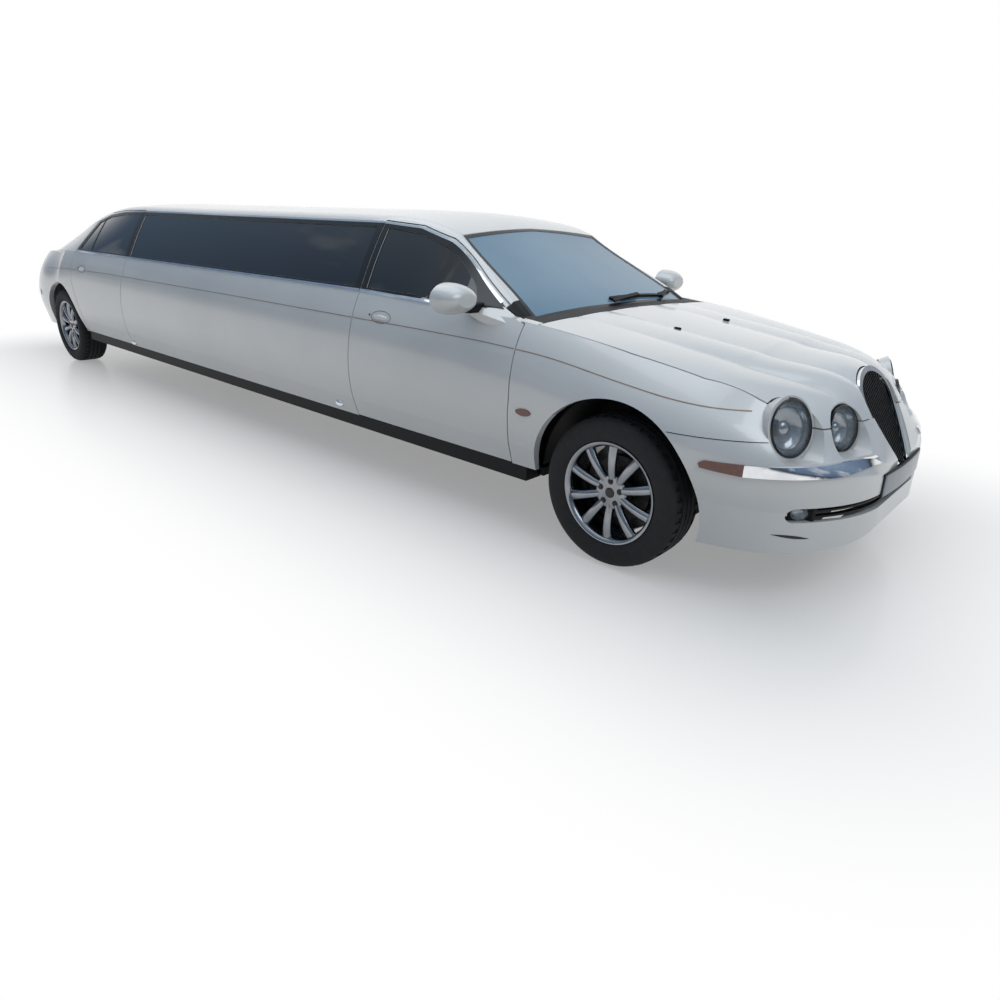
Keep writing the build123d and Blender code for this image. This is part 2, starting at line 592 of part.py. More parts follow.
blade_line = [(MARKER_X + SEAT, BLADE_Z[0]), (810, BLADE_Z[0]), (890, BLADE_MID - 6), (890, BLADE_MID + 4),
              (830, BLADE_Z[1]), (MARKER_X + SEAT, BLADE_Z[1])]
marker_line = [(MARKER_X, BLADE_Z[0]), (MARKER_X, BLADE_Z[1]), (410, BLADE_Z[1]), (392, BLADE_MID + 10), (400, BLADE_MID - 6)]
keep("front_blades", both(front_blade(blade_line)))
with BuildPart() as oval:
    with BuildSketch(Plane.XZ.offset(800)):
        with Locations((XF - 440, 595)):
            Ellipse(42, 16)
    extrude(amount=200)
repeater = oval.part
repeater = without(common(moved(body_form, dy=-6.0), repeater), moved(body_form, dy=-SEAT))
keep("amber_lamps", both(joined(front_blade(marker_line), repeater)))
rear_strip = block(XR - 1200, XR - 560, -FAR, -300, 560, 604)
keep("rear_blades", both(without(common(moved(tail_form, -BLADE_T, -7.0), rear_strip), moved(tail_form, -SEAT, -SEAT))))
tail_lens = front_prism(-TAIL[0], TAIL[1], TAIL[2], TAIL[3], XR - 1100, XR - 700)
keep("tail_lamps", both(without(common(moved(tail_form, 2.0), tail_lens), moved(tail_form, 30.0))))

# Underbody
sill = block(XR + REAR_ARCH_R + 45, XF - FRONT_ARCH_R - 60, -842, -742, SILL_LOW, SILL_TOP - SEAT)
PAD = (90.0, 50.0, 10.0)
pads = [block(x - PAD[0] / 2, x + PAD[0] / 2, -792 - PAD[1] / 2, -792 + PAD[1] / 2, SILL_LOW - PAD[2], SILL_LOW)
        for x in (XF - 640, XR + 620)]
keep("sills", both(joined(sill, *pads)))
floor = joined(block(XR + REAR_ARCH_R + 30, XF - FRONT_ARCH_R - 40, -742 + SEAT, 742 - SEAT, FLOOR_Z - FLOOR_T, FLOOR_Z),
               block(XR - 420, XR + REAR_ARCH_R + 60, -520, 520, SEAT_PAN_Z, SEAT_PAN_Z + FLOOR_T),
               block(XR + REAR_ARCH_R + 30, XR + REAR_ARCH_R + 60, -700, 700, FLOOR_Z - FLOOR_T, SEAT_PAN_Z + FLOOR_T),
               block(XR - 930, XR - 420, -560, 560, SEAT_PAN_Z - 60, SEAT_PAN_Z + FLOOR_T),
               block(XF + FIREWALL_X - FLOOR_T, XF + FIREWALL_X, -690, 690, FLOOR_Z, 900))
keep("floor_pan", floor)


def well_liner(x, inner_y, outer_y, radius):
    ring = without(rod(x, -outer_y, -inner_y + 10, TYRE_R, radius + 9), rod(x, -900, -inner_y, TYRE_R, radius + 1))
    arm_slot = block(x - 170, x + 170, -inner_y - 10, -inner_y + 20, 0, TYRE_R + KNUCKLE_END + 40)
    return without(ring, block(x - 600, x + 600, -FAR, FAR, -200, TYRE_R + 12), arm_slot)


keep("wheel_liners", both(joined(*[well_liner(*row) for row in WELLS])))

# Running gear
half = TYRE_WIDTH / 2
TYRE_LINE = [(RIM_R, half - 16), (RIM_R + 20, half - 5), (RIM_R + 52, half), (TYRE_R - 24, half - 10),
             (TYRE_R - 7, half - 24), (TYRE_R, half - 40)]
with BuildPart() as tyre:
    with BuildSketch(Plane.XY):
        Polygon(*TYRE_LINE, *[(x, -y) for x, y in reversed(TYRE_LINE)], align=None)
    revolve(axis=Axis.Y)

RIM_HALF = half - 12
FACE_Y = -72.0
LUG_COLS = ("circle_r", "count", "hole_r")
LUGS = (54.0, 5, 8.0)
with BuildPart() as rim:
    with BuildSketch(Plane.XY):
        Polygon((RIM_R - SEAT, -RIM_HALF), (RIM_R - SEAT, RIM_HALF), (RIM_R - 14, RIM_HALF), (RIM_R - 26, 60),
                (RIM_R - 26, -50), (RIM_R - 16, -RIM_HALF), align=None)
    revolve(axis=Axis.Y)
    with BuildSketch(Plane.XZ.offset(-FACE_Y)):
        Circle(74)
    extrude(amount=-44)
    with BuildSketch(Plane.XZ.offset(-FACE_Y)):
        with PolarLocations(0, 10):
            with Locations((64, 0)):
                Trapezoid(44, RIM_R - 26 - 60, 84, rotation=-90, align=(Align.CENTER, Align.MIN))
    extrude(amount=-24)
    with BuildSketch(Plane.XZ.offset(-FACE_Y + 1)):
        with PolarLocations(LUGS[0], LUGS[1]):
            Circle(LUGS[2])
    extrude(amount=-14, mode=Mode.SUBTRACT)
    with BuildSketch(Plane.XZ.offset(-(FACE_Y + 44))):
        Circle(HUB_R + RUN_FIT)
    extrude(amount=30, mode=Mode.SUBTRACT)

WHEEL_COLS = ("name", "x", "side")
for name, x, side in (("front_left", XF, 1), ("front_right", XF, -1), ("rear_left", XR, 1), ("rear_right", XR, -1)):
    turn = Location((x, side * TRACK_HALF, TYRE_R), (0, 0, 180 if side > 0 else 0))
    keep(f"tyre_{name}", tyre.part.moved(turn))
    keep(f"rim_{name}", rim.part.moved(turn))

STUB_END = TRACK_HALF + FACE_Y * -1 - 44 + 24
with BuildPart() as knuckle:
    with Locations((XF, -KINGPIN_Y, TYRE_R)):
        Cylinder(30, 250)
    with BuildSketch(Plane.XZ.offset(KINGPIN_Y)):
        with Locations((XF, TYRE_R)):
            Circle(HUB_R)
    extrude(amount=STUB_END - KINGPIN_Y)
keep("knuckle_right", knuckle.part)
keep("knuckle_left", mirrored(knuckle.part))

with BuildPart() as arms:
    for z in (TYRE_R - KNUCKLE_END - SEAT - 24, TYRE_R + KNUCKLE_END + SEAT):
        with BuildSketch(Plane.XY.offset(z)):
            with BuildLine():
                Polyline((XF - 34, -KINGPIN_Y - 26), (XF + 34, -KINGPIN_Y - 26), (XF + 150, -380),
                         (XF + 150, -300), (XF - 150, -300), (XF - 150, -380), close=True)
            make_face()
        extrude(amount=24)
beam = joined(block(XF - 170, XF + 170, -400, 400, TYRE_R - KNUCKLE_END - 60, TYRE_R - KNUCKLE_END - SEAT),
              *[block(XF - 150, XF + 150, side * 300, side * 380, TYRE_R - KNUCKLE_END - 30, TYRE_R + KNUCKLE_END + 24.3)
                for side in (1, -1)])
rails = joined(*[block(XF + 150, XF + 610, side * 250, side * 310, TYRE_R - KNUCKLE_END - 60, TYRE_R - KNUCKLE_END - SEAT)
                 for side in (1, -1)],
               block(XF + 560, XF + 610, -330, 330, TYRE_R - KNUCKLE_END - 60, RADIATOR_Z - SEAT))
keep("front_subframe", joined(beam, both(arms.part), rails))
with BuildPart() as axle:
    add(rod(XR, -STUB_END, STUB_END, TYRE_R, HUB_R))
    with Locations((XR, 0, TYRE_R)):
        Cylinder(DIFF_R, 190, rotation=(90, 0, 0))
keep("rear_axle", axle.part)

BAY_FLOOR = TYRE_R - KNUCKLE_END - SEAT
keep("engine", joined(block(XF - 330, XF + 330, -250, 250, BAY_FLOOR, 760), block(XF + FIREWALL_X + SEAT, XF - 330, -150, 150, FLOOR_Z + SEAT, 480)))
keep("radiator", block(XF + 560, XF + 610, -330, 330, RADIATOR_Z, 700))
with BuildPart() as exhaust:
    with Locations((0, 430, FLOOR_Z - FLOOR_T - 30 - SEAT)):
        Cylinder(30, XF - 500 - (XR + 500), rotation=(0, 90, 0))
    with Locations((-400, 430, FLOOR_Z - FLOOR_T - 30 - SEAT)):
        Box(700, 200, 60)
keep("exhaust", exhaust.part)

# Inside the cabin
DASH_REAR = -900.0
DASH_FRONT = FIREWALL_X - FLOOR_T - SEAT
dash_line = f([(DASH_FRONT, 560), (DASH_FRONT, 905), (-650, 930), (DASH_REAR + 40, 915), (DASH_REAR, 870), (DASH_REAR + 20, 760),
               (-780, 640), (-720, 560)])
COLUMN_END = 70.0
WHEEL_AXIS = Plane(origin=(XF - 985, -365, 800), x_dir=(0, 1, 0), z_dir=(-math.cos(0.45), 0, math.sin(0.45)))
with BuildPart() as steering:
    with BuildSketch(WHEEL_AXIS):
        Circle(190)
        Circle(164, mode=Mode.SUBTRACT)
        Rectangle(340, 34)
        Circle(52)
    extrude(amount=26)
    with BuildSketch(WHEEL_AXIS):
        Circle(24)
    extrude(amount=-COLUMN_END)
keep("steering_wheel", steering.part)
with BuildPart() as column:
    with BuildSketch(WHEEL_AXIS.offset(-COLUMN_END - SEAT)):
        Circle(40)
    extrude(amount=-150)
keep("dashboard", joined(side_prism(dash_line, -690, 690), column.part))
seat_line = f([(-1180, FLOOR_Z + SEAT), (-1120, 470), (-1110, 530), (-1560, 500), (-1680, 930), (-1660, 1130),
               (-1740, 1130), (-1790, 900), (-1720, FLOOR_Z + SEAT)])
keep("front_seats", both(side_prism(seat_line, -620, -110)))
BENCH_LOW = SEAT_PAN_Z + FLOOR_T + SEAT
bench_line = r([(900, FLOOR_Z + SEAT), (880, 590), (480, 560), (330, 1080), (200, 1080), (300, BENCH_LOW),
                (REAR_ARCH_R + 70, BENCH_LOW), (REAR_ARCH_R + 70, FLOOR_Z + SEAT)])
rear_bench = side_prism(bench_line, -540, 540)
sofa = block(XR + 905, XF - 2000, 330, 690, FLOOR_Z + SEAT, 560)
sofa_back = block(XR + 905, XF - 2000, 560, 690, 560, 900)
keep("passenger_seats", joined(rear_bench, sofa, sofa_back))

# Door mirrors
MIRROR_COLS = ("dx", "y", "half_y", "half_z")
MIRRORS = [(-762, 925, 52, 30), (-790, 930, 88, 54), (-835, 935, 102, 68), (-884, 938, 104, 70)]
with BuildPart() as mirror_pod:
    for dx, y, half_y, half_z in MIRRORS:
        with BuildSketch(Plane.YZ.offset(XF + dx)):
            with Locations((-y, 1042)):
                Ellipse(half_y, half_z)
    loft()
    with Locations((XF - 835, -800, 1000)):
        Box(54, 130, 34)
pod = without(mirror_pod.part, moved(joined(body_form, house_form), dy=-SEAT))
keep("mirror_right", pod)
keep("mirror_left", mirrored(pod))

os.makedirs("parts", exist_ok=True)
for name, part in NODES.items():
    export_step(part, f"parts/{name}.step")
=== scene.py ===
import math
import bpy
from mathutils import Matrix, Vector


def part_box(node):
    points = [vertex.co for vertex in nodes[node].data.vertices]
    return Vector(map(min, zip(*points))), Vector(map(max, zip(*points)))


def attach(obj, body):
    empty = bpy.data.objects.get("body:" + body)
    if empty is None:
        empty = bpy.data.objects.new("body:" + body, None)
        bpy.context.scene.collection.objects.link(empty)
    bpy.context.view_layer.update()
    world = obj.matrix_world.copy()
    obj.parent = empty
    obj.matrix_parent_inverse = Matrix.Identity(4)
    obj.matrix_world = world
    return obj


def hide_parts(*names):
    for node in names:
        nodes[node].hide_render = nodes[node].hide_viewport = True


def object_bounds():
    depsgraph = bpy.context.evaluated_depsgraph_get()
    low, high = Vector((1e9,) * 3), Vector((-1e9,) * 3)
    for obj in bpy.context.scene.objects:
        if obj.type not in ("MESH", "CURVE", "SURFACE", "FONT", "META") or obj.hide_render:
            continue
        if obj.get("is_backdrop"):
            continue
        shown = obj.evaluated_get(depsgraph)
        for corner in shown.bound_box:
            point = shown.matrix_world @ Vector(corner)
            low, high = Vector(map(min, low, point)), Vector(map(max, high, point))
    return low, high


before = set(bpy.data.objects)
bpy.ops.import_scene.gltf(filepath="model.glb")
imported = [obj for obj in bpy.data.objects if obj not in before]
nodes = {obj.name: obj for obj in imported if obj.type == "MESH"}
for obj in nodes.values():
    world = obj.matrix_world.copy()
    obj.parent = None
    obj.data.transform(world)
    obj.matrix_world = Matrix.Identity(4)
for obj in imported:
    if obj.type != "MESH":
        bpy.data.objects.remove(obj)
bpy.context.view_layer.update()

# Places shared with the solids, in metres: axles, wheel centres and tyre size
FRONT_AXLE, REAR_AXLE = 3.0855, -2.9435
TRACK_HALF, TYRE_R = 0.768, 0.326
SIDES = (("right", -1), ("left", 1))
# Flat pieces start out here, clear of the car, before they are laid on it
OUTSIDE = {"x": 4.2, "y": 1.3, "z": 1.7}
# Rays that look for the car's skin start here: ahead of it, beside it and above it
RAY_AHEAD, RAY_SIDE, RAY_ABOVE = 4.5, 1.5, 1.6


# Small helpers for modelling

def deselect():
    bpy.ops.object.select_all(action="DESELECT")


def only(*objects):
    """Selects just these, the first one active."""
    deselect()
    for each in objects:
        each.select_set(True)
    bpy.context.view_layer.objects.active = objects[0]


def modify(kind, **settings):
    """Adds a modifier to the active piece and applies it."""
    piece = bpy.context.object
    made = piece.modifiers.new(kind.title(), kind)
    for name, value in settings.items():
        setattr(made, name, value)
    bpy.ops.object.modifier_apply(modifier=made.name)


def editing(select="FACE"):
    bpy.ops.object.mode_set(mode="EDIT")
    bpy.ops.mesh.select_mode(type=select)
    bpy.ops.mesh.select_all(action="SELECT")


def done(doubles=0.0):
    """Leaves edit mode with doubles merged and faces turned outwards."""
    bpy.ops.mesh.select_all(action="SELECT")
    if doubles:
        bpy.ops.mesh.remove_doubles(threshold=doubles)
    bpy.ops.mesh.normals_make_consistent(inside=False)
    bpy.ops.object.mode_set(mode="OBJECT")


def settle(name, body, material, smooth=35.0, replaces=()):
    """Names the active piece, applies its place and hands it to a body."""
    piece = bpy.context.object
    piece.name = name
    piece.data.name = name
    only(piece)
    bpy.ops.object.transform_apply(location=True, rotation=True, scale=True)
    piece.data.materials.clear()
    piece.data.materials.append(material)
    bpy.ops.object.shade_smooth_by_angle(angle=math.radians(smooth))
    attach(piece, body)
    if replaces:
        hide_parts(*replaces)


def joined(pieces):
    only(*pieces)
    if len(pieces) > 1:
        bpy.ops.object.join()
    return bpy.context.object


def copy_of(piece):
    twin = piece.copy()
    twin.data = piece.data.copy()
    bpy.context.collection.objects.link(twin)
    only(twin)
    return twin


def from_axle(axle, *points):
    """Points given by their distance ahead of an axle and a second measure."""
    return [(axle + ahead, other) for ahead, other in points]


def along(line, x):
    """Height of a line of (x, z) points at x, the points in falling x."""
    if x >= line[0][0]:
        return line[0][1]
    for (x0, z0), (x1, z1) in zip(line, line[1:]):
        if x >= x1:
            return z0 + (z1 - z0) * (x0 - x) / (x0 - x1)
    return line[-1][1]


def eased(line, reach=0.24, step=0.04):
    """The same line with its corners rounded off over a length."""
    count = int((line[0][0] - line[-1][0]) / step)
    spots = [line[0][0] - step * number for number in range(count + 1)]
    offsets = [reach * (number / 6 - 0.5) for number in range(7)]
    return [(x, sum(along(line, x + off) for off in offsets) / len(offsets)) for x in spots]


def hit(node, origin, towards):
    """Where a ray first meets a solid, or None."""
    found, place, _, _ = nodes[node].ray_cast(Vector(origin), Vector(towards))
    return place if found else None


def span(node, line, side, step=0.004):
    """The longest unbroken stretch of x over which a line of (x, z) points lies on a solid's outside."""
    low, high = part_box(node)
    x, runs = max(low.x, line[-1][0]), [[]]
    while x <= min(high.x, line[0][0]):
        place = hit(node, (x, side * RAY_SIDE, along(line, x)), (0, -side, 0))
        if place and abs(place.y) > 0.5:
            runs[-1].append(x)
        elif runs[-1]:
            runs.append([])
        x += step
    best = max(runs, key=len)
    return best[0] + 0.002, best[-1] - 0.002


def flat_grid(columns, rows, spot):
    """A grid whose points go where spot(u, v) says, u and v running from -1 to 1."""
    deselect()
    bpy.ops.mesh.primitive_grid_add(x_subdivisions=columns, y_subdivisions=rows, size=2)
    grid = bpy.context.object
    for v in grid.data.vertices:
        v.co = spot(v.co.x, v.co.y)
    return grid


def lay_on(node, axis, stand, thick):
    """Projects the active flat piece on a solid and gives it thickness."""
    modify("SHRINKWRAP", target=nodes[node], wrap_method="PROJECT", wrap_mode="ABOVE_SURFACE", offset=stand,
           use_project_x=axis == "x", use_project_y=axis == "y", use_project_z=axis == "z",
           use_negative_direction=True, use_positive_direction=True)
    # What reaches past the solid's edge stayed where it began, outside the car, and goes
    piece, number = bpy.context.object, "xyz".index(axis)
    editing("VERT")
    bpy.ops.mesh.select_all(action="DESELECT")
    bpy.ops.object.mode_set(mode="OBJECT")
    for v in piece.data.vertices:
        v.select = abs(abs(v.co[number]) - OUTSIDE[axis]) < 0.01
    bpy.ops.object.mode_set(mode="EDIT")
    bpy.ops.mesh.delete(type="VERT")
    bpy.ops.object.mode_set(mode="OBJECT")
    modify("SOLIDIFY", thickness=thick, offset=0.0)
    editing()
    done()


def strip(node, line, half, side, stand, thick, x_span=None, columns=40):
    """A band along a side panel, following a line of (x, z) points."""
    x_low, x_high = x_span or span(node, line, side)

    def spot(u, v):
        x = x_low + (u + 1) / 2 * (x_high - x_low)
        return x, side * OUTSIDE["y"], along(line, x) + v * half

    flat_grid(columns, 2, spot)
    lay_on(node, "y", stand, thick)


def grown(points, by):
    """A closed outline moved outwards by a width, corners kept sharp."""
    area = sum(a[0] * b[1] - b[0] * a[1] for a, b in zip(points, points[1:] + points[:1]))
    turn = 1 if area > 0 else -1
    result = []
    for before, here, after in zip(points[-1:] + points[:-1], points, points[1:] + points[:1]):
        d0 = Vector((here[0] - before[0], here[1] - before[1])).normalized()
        d1 = Vector((after[0] - here[0], after[1] - here[1])).normalized()
        n0, n1 = Vector((d0.y, -d0.x)) * turn, Vector((d1.y, -d1.x)) * turn
        miter = (n0 + n1) / (1 + n0.dot(n1))
        result.append((here[0] + miter.x * by, here[1] + miter.y * by))
    return result


def flat_ring(inner, outer, plane, level, cuts):
    """A flat ring between two outlines of as many points: side takes (x, z), plan takes (x, y)."""
    deselect()
    bpy.ops.mesh.primitive_circle_add(vertices=len(inner), fill_type="NOTHING")
    ring = bpy.context.object
    count = len(inner)
    editing("EDGE")
    bpy.ops.mesh.extrude_edges_move()
    bpy.ops.object.mode_set(mode="OBJECT")
    for number, v in enumerate(ring.data.vertices):
        a, b = inner[number] if number < count else outer[number - count]
        v.co = {"side": (a, level, b), "plan": (a, b, level)}[plane]
    editing()
    if cuts:
        bpy.ops.mesh.subdivide(number_cuts=cuts)
    bpy.ops.object.mode_set(mode="OBJECT")


def ellipse(y, z, half_y, half_z, count=48):
    return [(y + half_y * math.cos(2 * math.pi * n / count), z + half_z * math.sin(2 * math.pi * n / count))
            for n in range(count)]


def oval_rings(half_a, half_b, rings, place, count=56, hollow=False, through=False):
    """Ovals stacked along a lamp's own axis, each (depth, scale).

    hollow leaves the first end open, through the last.
    """
    deselect()
    bpy.ops.mesh.primitive_circle_add(vertices=count, fill_type="NOTHING")
    stack = bpy.context.object
    for v, (a, b) in zip(stack.data.vertices, ellipse(0, 0, half_a, half_b, count)):
        v.co = (a * rings[0][1], b * rings[0][1], rings[0][0])
    editing("EDGE")
    if not hollow:
        bpy.ops.mesh.edge_face_add()
        bpy.ops.mesh.select_all(action="SELECT")
    for (depth0, scale0), (depth1, scale1) in zip(rings, rings[1:]):
        bpy.ops.mesh.extrude_edges_move(TRANSFORM_OT_translate={"value": (0, 0, depth1 - depth0)})
        bpy.ops.transform.resize(value=(scale1 / scale0, scale1 / scale0, 1))
    if not through:
        bpy.ops.mesh.edge_face_add()
    done()
    stack.data.transform(place)
    return stack


def facing(centre, towards):
    """A place whose own Z looks along a direction, its X level."""
    axis = Vector(towards).normalized()
    level = Vector((0, 0, 1)).cross(axis).normalized()
    return Matrix.Translation(centre) @ Matrix((level, axis.cross(level), axis)).transposed().to_4x4()


def turned(profile, steps):
    """A closed outline of (radius, y) points spun round the wheel's axle at the origin."""
    deselect()
    bpy.ops.mesh.primitive_circle_add(vertices=len(profile), fill_type="NOTHING")
    ring = bpy.context.object
    for v, (radius, y) in zip(ring.data.vertices, profile):
        v.co = (radius, y, 0)
    editing("EDGE")
    bpy.ops.mesh.spin(steps=steps, angle=2 * math.pi, center=(0, 0, 0), axis=(0, 1, 0))
    done(doubles=0.00005)
    return ring


def rounded_box(centre, size, bevel, segments=3, tilt=0.0):
    """A box with rounded edges, tilted about the car's width."""
    deselect()
    bpy.ops.mesh.primitive_cube_add(size=1, location=centre, rotation=(0, tilt, 0), scale=size)
    bpy.ops.object.transform_apply(location=True, rotation=True, scale=True)
    editing("EDGE")
    bpy.ops.mesh.bevel(offset=bevel, segments=segments)
    done()
    return bpy.context.object


# Finishes

def srgb(code):
    """Linear colour from an sRGB hex code."""
    parts = [int(code[n:n + 2], 16) / 255 for n in (1, 3, 5)]
    return [c / 12.92 if c <= 0.04045 else ((c + 0.055) / 1.055) ** 2.4 for c in parts] + [1.0]


def put(tree, kind, settings=(), values=(), links=(), stops=()):
    """Adds a node with its settings, socket values, links and a ramp's (position, hex code) stops."""
    made = tree.nodes.new(kind)
    for name, value in dict(settings).items():
        setattr(made, name, value)
    for socket, value in dict(values).items():
        made.inputs[socket].default_value = value
    for socket, source in dict(links).items():
        tree.links.new(source, made.inputs[socket])
    for number, (position, code) in enumerate(stops):
        scale = made.color_ramp.elements
        if number == len(scale):
            scale.new(position)
        scale[number].position, scale[number].color = position, srgb(code)
    return made


def finish(name, colours, size_mm, values, bump_mm=0.0, bump_size_mm=1.0):
    """A finish whose colour drifts between two hex codes in patches of a real size, over a fine bump."""
    material = bpy.data.materials.new(name)
    material.use_nodes = True
    tree = material.node_tree
    shader = tree.nodes["Principled BSDF"]
    for socket, value in values.items():
        shader.inputs[socket].default_value = value
    place = put(tree, "ShaderNodeTexCoord")
    patches = put(tree, "ShaderNodeTexNoise", values={"Scale": 1000.0 / size_mm, "Detail": 4.0},
                  links={"Vector": place.outputs["Object"]})
    drift = put(tree, "ShaderNodeValToRGB", links={"Fac": patches.outputs["Fac"]},
                stops=zip((0.35, 0.65), colours))
    tree.links.new(drift.outputs["Color"], shader.inputs["Base Color"])
    if bump_mm:
        grain = put(tree, "ShaderNodeTexNoise", values={"Scale": 1000.0 / bump_size_mm, "Detail": 3.0},
                    links={"Vector": place.outputs["Object"]})
        relief = put(tree, "ShaderNodeBump", values={"Strength": 1.0, "Distance": bump_mm / 1000.0},
                     links={"Height": grain.outputs["Fac"]})
        tree.links.new(relief.outputs["Normal"], shader.inputs["Normal"])
    return material


# Two-coat pearl enamel: pale under a clear lacquer, so the sky shows as a soft sheet over a faint flake
PEARL = finish("pearl_white_enamel", ("#cccbc7", "#d5d3cf"), 900.0,
               {"Roughness": 0.36, "Metallic": 0.15, "Coat Weight": 0.7, "Coat Roughness": 0.03},
               bump_mm=0.02, bump_size_mm=2.0)
# Bright plated steel: mirrors its surroundings, a trace of haze
CHROME = finish("plated_chrome", ("#d5d8dc", "#e4e6e8"), 60.0, {"Metallic": 1.0, "Roughness": 0.07})
# Privacy glass: near black in the mass, polished faces
TINTED = finish("tinted_glass", ("#05070a", "#0a0d10"), 400.0,
                {"Roughness": 0.02, "Coat Weight": 0.6, "Coat Roughness": 0.01, "Alpha": 0.985})
# Laminated screen: its blue-grey is a painted reflection of the sky, with the cabin only faintly seen through
# it
SCREEN = finish("laminated_glass_painted_sky", ("#7090a3", "#7c9bad"), 700.0, {"Roughness": 0.02, "Alpha": 0.82})
# Polycarbonate lamp cover: clear, slightly hazed with age
LENS = finish("lamp_polycarbonate", ("#98a1a7", "#a7afb4"), 35.0,
              {"Roughness": 0.04, "Alpha": 0.14, "Specular IOR Level": 1.0})
# Vacuum-metallised reflector: bright and a little soft
REFLECTOR = finish("metallised_reflector", ("#8d9398", "#a6abaf"), 60.0, {"Metallic": 1.0, "Roughness": 0.16})
# Moulded acrylic lenses: deep colour under a glossy face
AMBER = finish("amber_acrylic", ("#5a2412", "#6b3018"), 12.0, {"Roughness": 0.16, "Coat Weight": 0.6})
RED = finish("red_acrylic", ("#6d0a0c", "#8f1113"), 14.0, {"Roughness": 0.15, "Coat Weight": 0.6})
# Moulded polypropylene: matt black with a leathery grain
BLACK = finish("black_polypropylene", ("#08090a", "#0f1113"), 30.0,
               {"Roughness": 0.5, "Specular IOR Level": 0.2}, 0.15, 1.6)
# Black paint of the frames round the glass: a satin shine
FRAME_BLACK = finish("satin_black_frame", ("#07080a", "#0c0e11"), 80.0, {"Roughness": 0.3})
# Tyre rubber: dull black, greyer where it is scuffed
RUBBER = finish("tyre_rubber", ("#0a0b0c", "#151617"), 40.0, {"Roughness": 0.78}, 0.25, 2.4)
# Silver lacquer over cast alloy wheels: bright grey under a clear gloss
ALLOY = finish("silver_wheel_lacquer", ("#7d8186", "#909499"), 90.0,
               {"Metallic": 1.0, "Roughness": 0.18, "Coat Weight": 0.5, "Coat Roughness": 0.08}, 0.02, 1.2)
# Cast iron with turned faces: dark grey with a dull shine
IRON = finish("turned_iron", ("#2f2e2e", "#434140"), 22.0, {"Metallic": 0.9, "Roughness": 0.42}, 0.05, 1.0)
# Stone-guard paint under the car: rough, matt and nearly black
UNDERSEAL = finish("underseal", ("#111213", "#1d1e1f"), 70.0, {"Roughness": 0.8}, 0.6, 5.0)
# Bare cast alloy of engine and cooler: dull grey with a sandy grain
CASTING = finish("cast_alloy", ("#5f6264", "#7b7e80"), 25.0, {"Metallic": 0.8, "Roughness": 0.55}, 0.3, 3.0)
# Moulded vinyl of the cabin: dark and matt with a fine grain
CABIN = finish("dash_vinyl", ("#23211f", "#2d2a27"), 50.0, {"Roughness": 0.6}, 0.2, 1.8)
# Grained hide on the seats: beige with a soft sheen
HIDE = finish("seat_hide", ("#8b8175", "#a0958a"), 120.0,
              {"Roughness": 0.48, "Sheen Weight": 0.15}, 0.35, 4.0)
# Coach line: tan enamel drawn by hand along the sides
COACH_LINE = finish("tan_coach_line", ("#8d7460", "#9b8270"), 60.0, {"Roughness": 0.35, "Coat Weight": 0.5})
# Reflective sheeting of a blank plate: an even blue-grey
PLATE = finish("plate_sheeting", ("#56626d", "#5f6b76"), 40.0,
               {"Roughness": 0.35, "Coat Weight": 0.4}, 0.05, 1.5)
# Silvered mirror glass: a clean reflection
SILVERED = finish("silvered_glass", ("#c9cfd3", "#d7dbde"), 200.0, {"Metallic": 1.0, "Roughness": 0.02})

NODE_FINISH = {
    PEARL: ["bonnet", "wing_left", "wing_right", "front_bumper", "rear_bumper", "rear_deck", "boot_lid",
            "roof", "quarter_left", "quarter_right", "centre_panel_left", "centre_panel_right",
            "front_door_left", "front_door_right", "rear_door_left", "rear_door_right", "mirror_left",
            "mirror_right"],
    CHROME: ["grille", "front_blades", "rear_blades"],
    TINTED: ["front_door_glass_left", "front_door_glass_right", "rear_door_glass_left",
             "rear_door_glass_right", "centre_windows", "rear_window", "roof_hatch"],
    SCREEN: ["windscreen"],
    AMBER: ["amber_lamps"],
    RED: ["tail_lamps"],
    BLACK: ["scuttle", "sills", "grille_bars", "wheel_liners"],
    UNDERSEAL: ["floor_pan", "front_subframe", "rear_axle", "exhaust", "knuckle_left", "knuckle_right"],
    CASTING: ["engine", "radiator"],
    CABIN: ["dashboard"],
}
for material, names in NODE_FINISH.items():
    for name in names:
        nodes[name].data.materials.clear()
        nodes[name].data.materials.append(material)


# Side trim: the coach line, the bright waist moulding and the window frames

COACH = eased(from_axle(FRONT_AXLE, (0.50, 0.745), (0.30, 0.752), (0.0, 0.793), (-0.35, 0.842),
                        (-0.70, 0.860), (-1.2, 0.866), (-3.0, 0.868), (-5.0, 0.862), (-5.8, 0.850),
                        (-6.45, 0.815)))
WAIST = from_axle(FRONT_AXLE, (-0.89, 0.984), (-1.1, 0.989), (-1.6, 1.003), (-2.0, 1.004), (-5.0, 1.004),
                  (-5.75, 1.003))
SIDE_PANELS = (("wing", "body"), ("front_door", "front_door"), ("centre_panel", "body"),
               ("rear_door", "rear_door"), ("quarter", "body"))
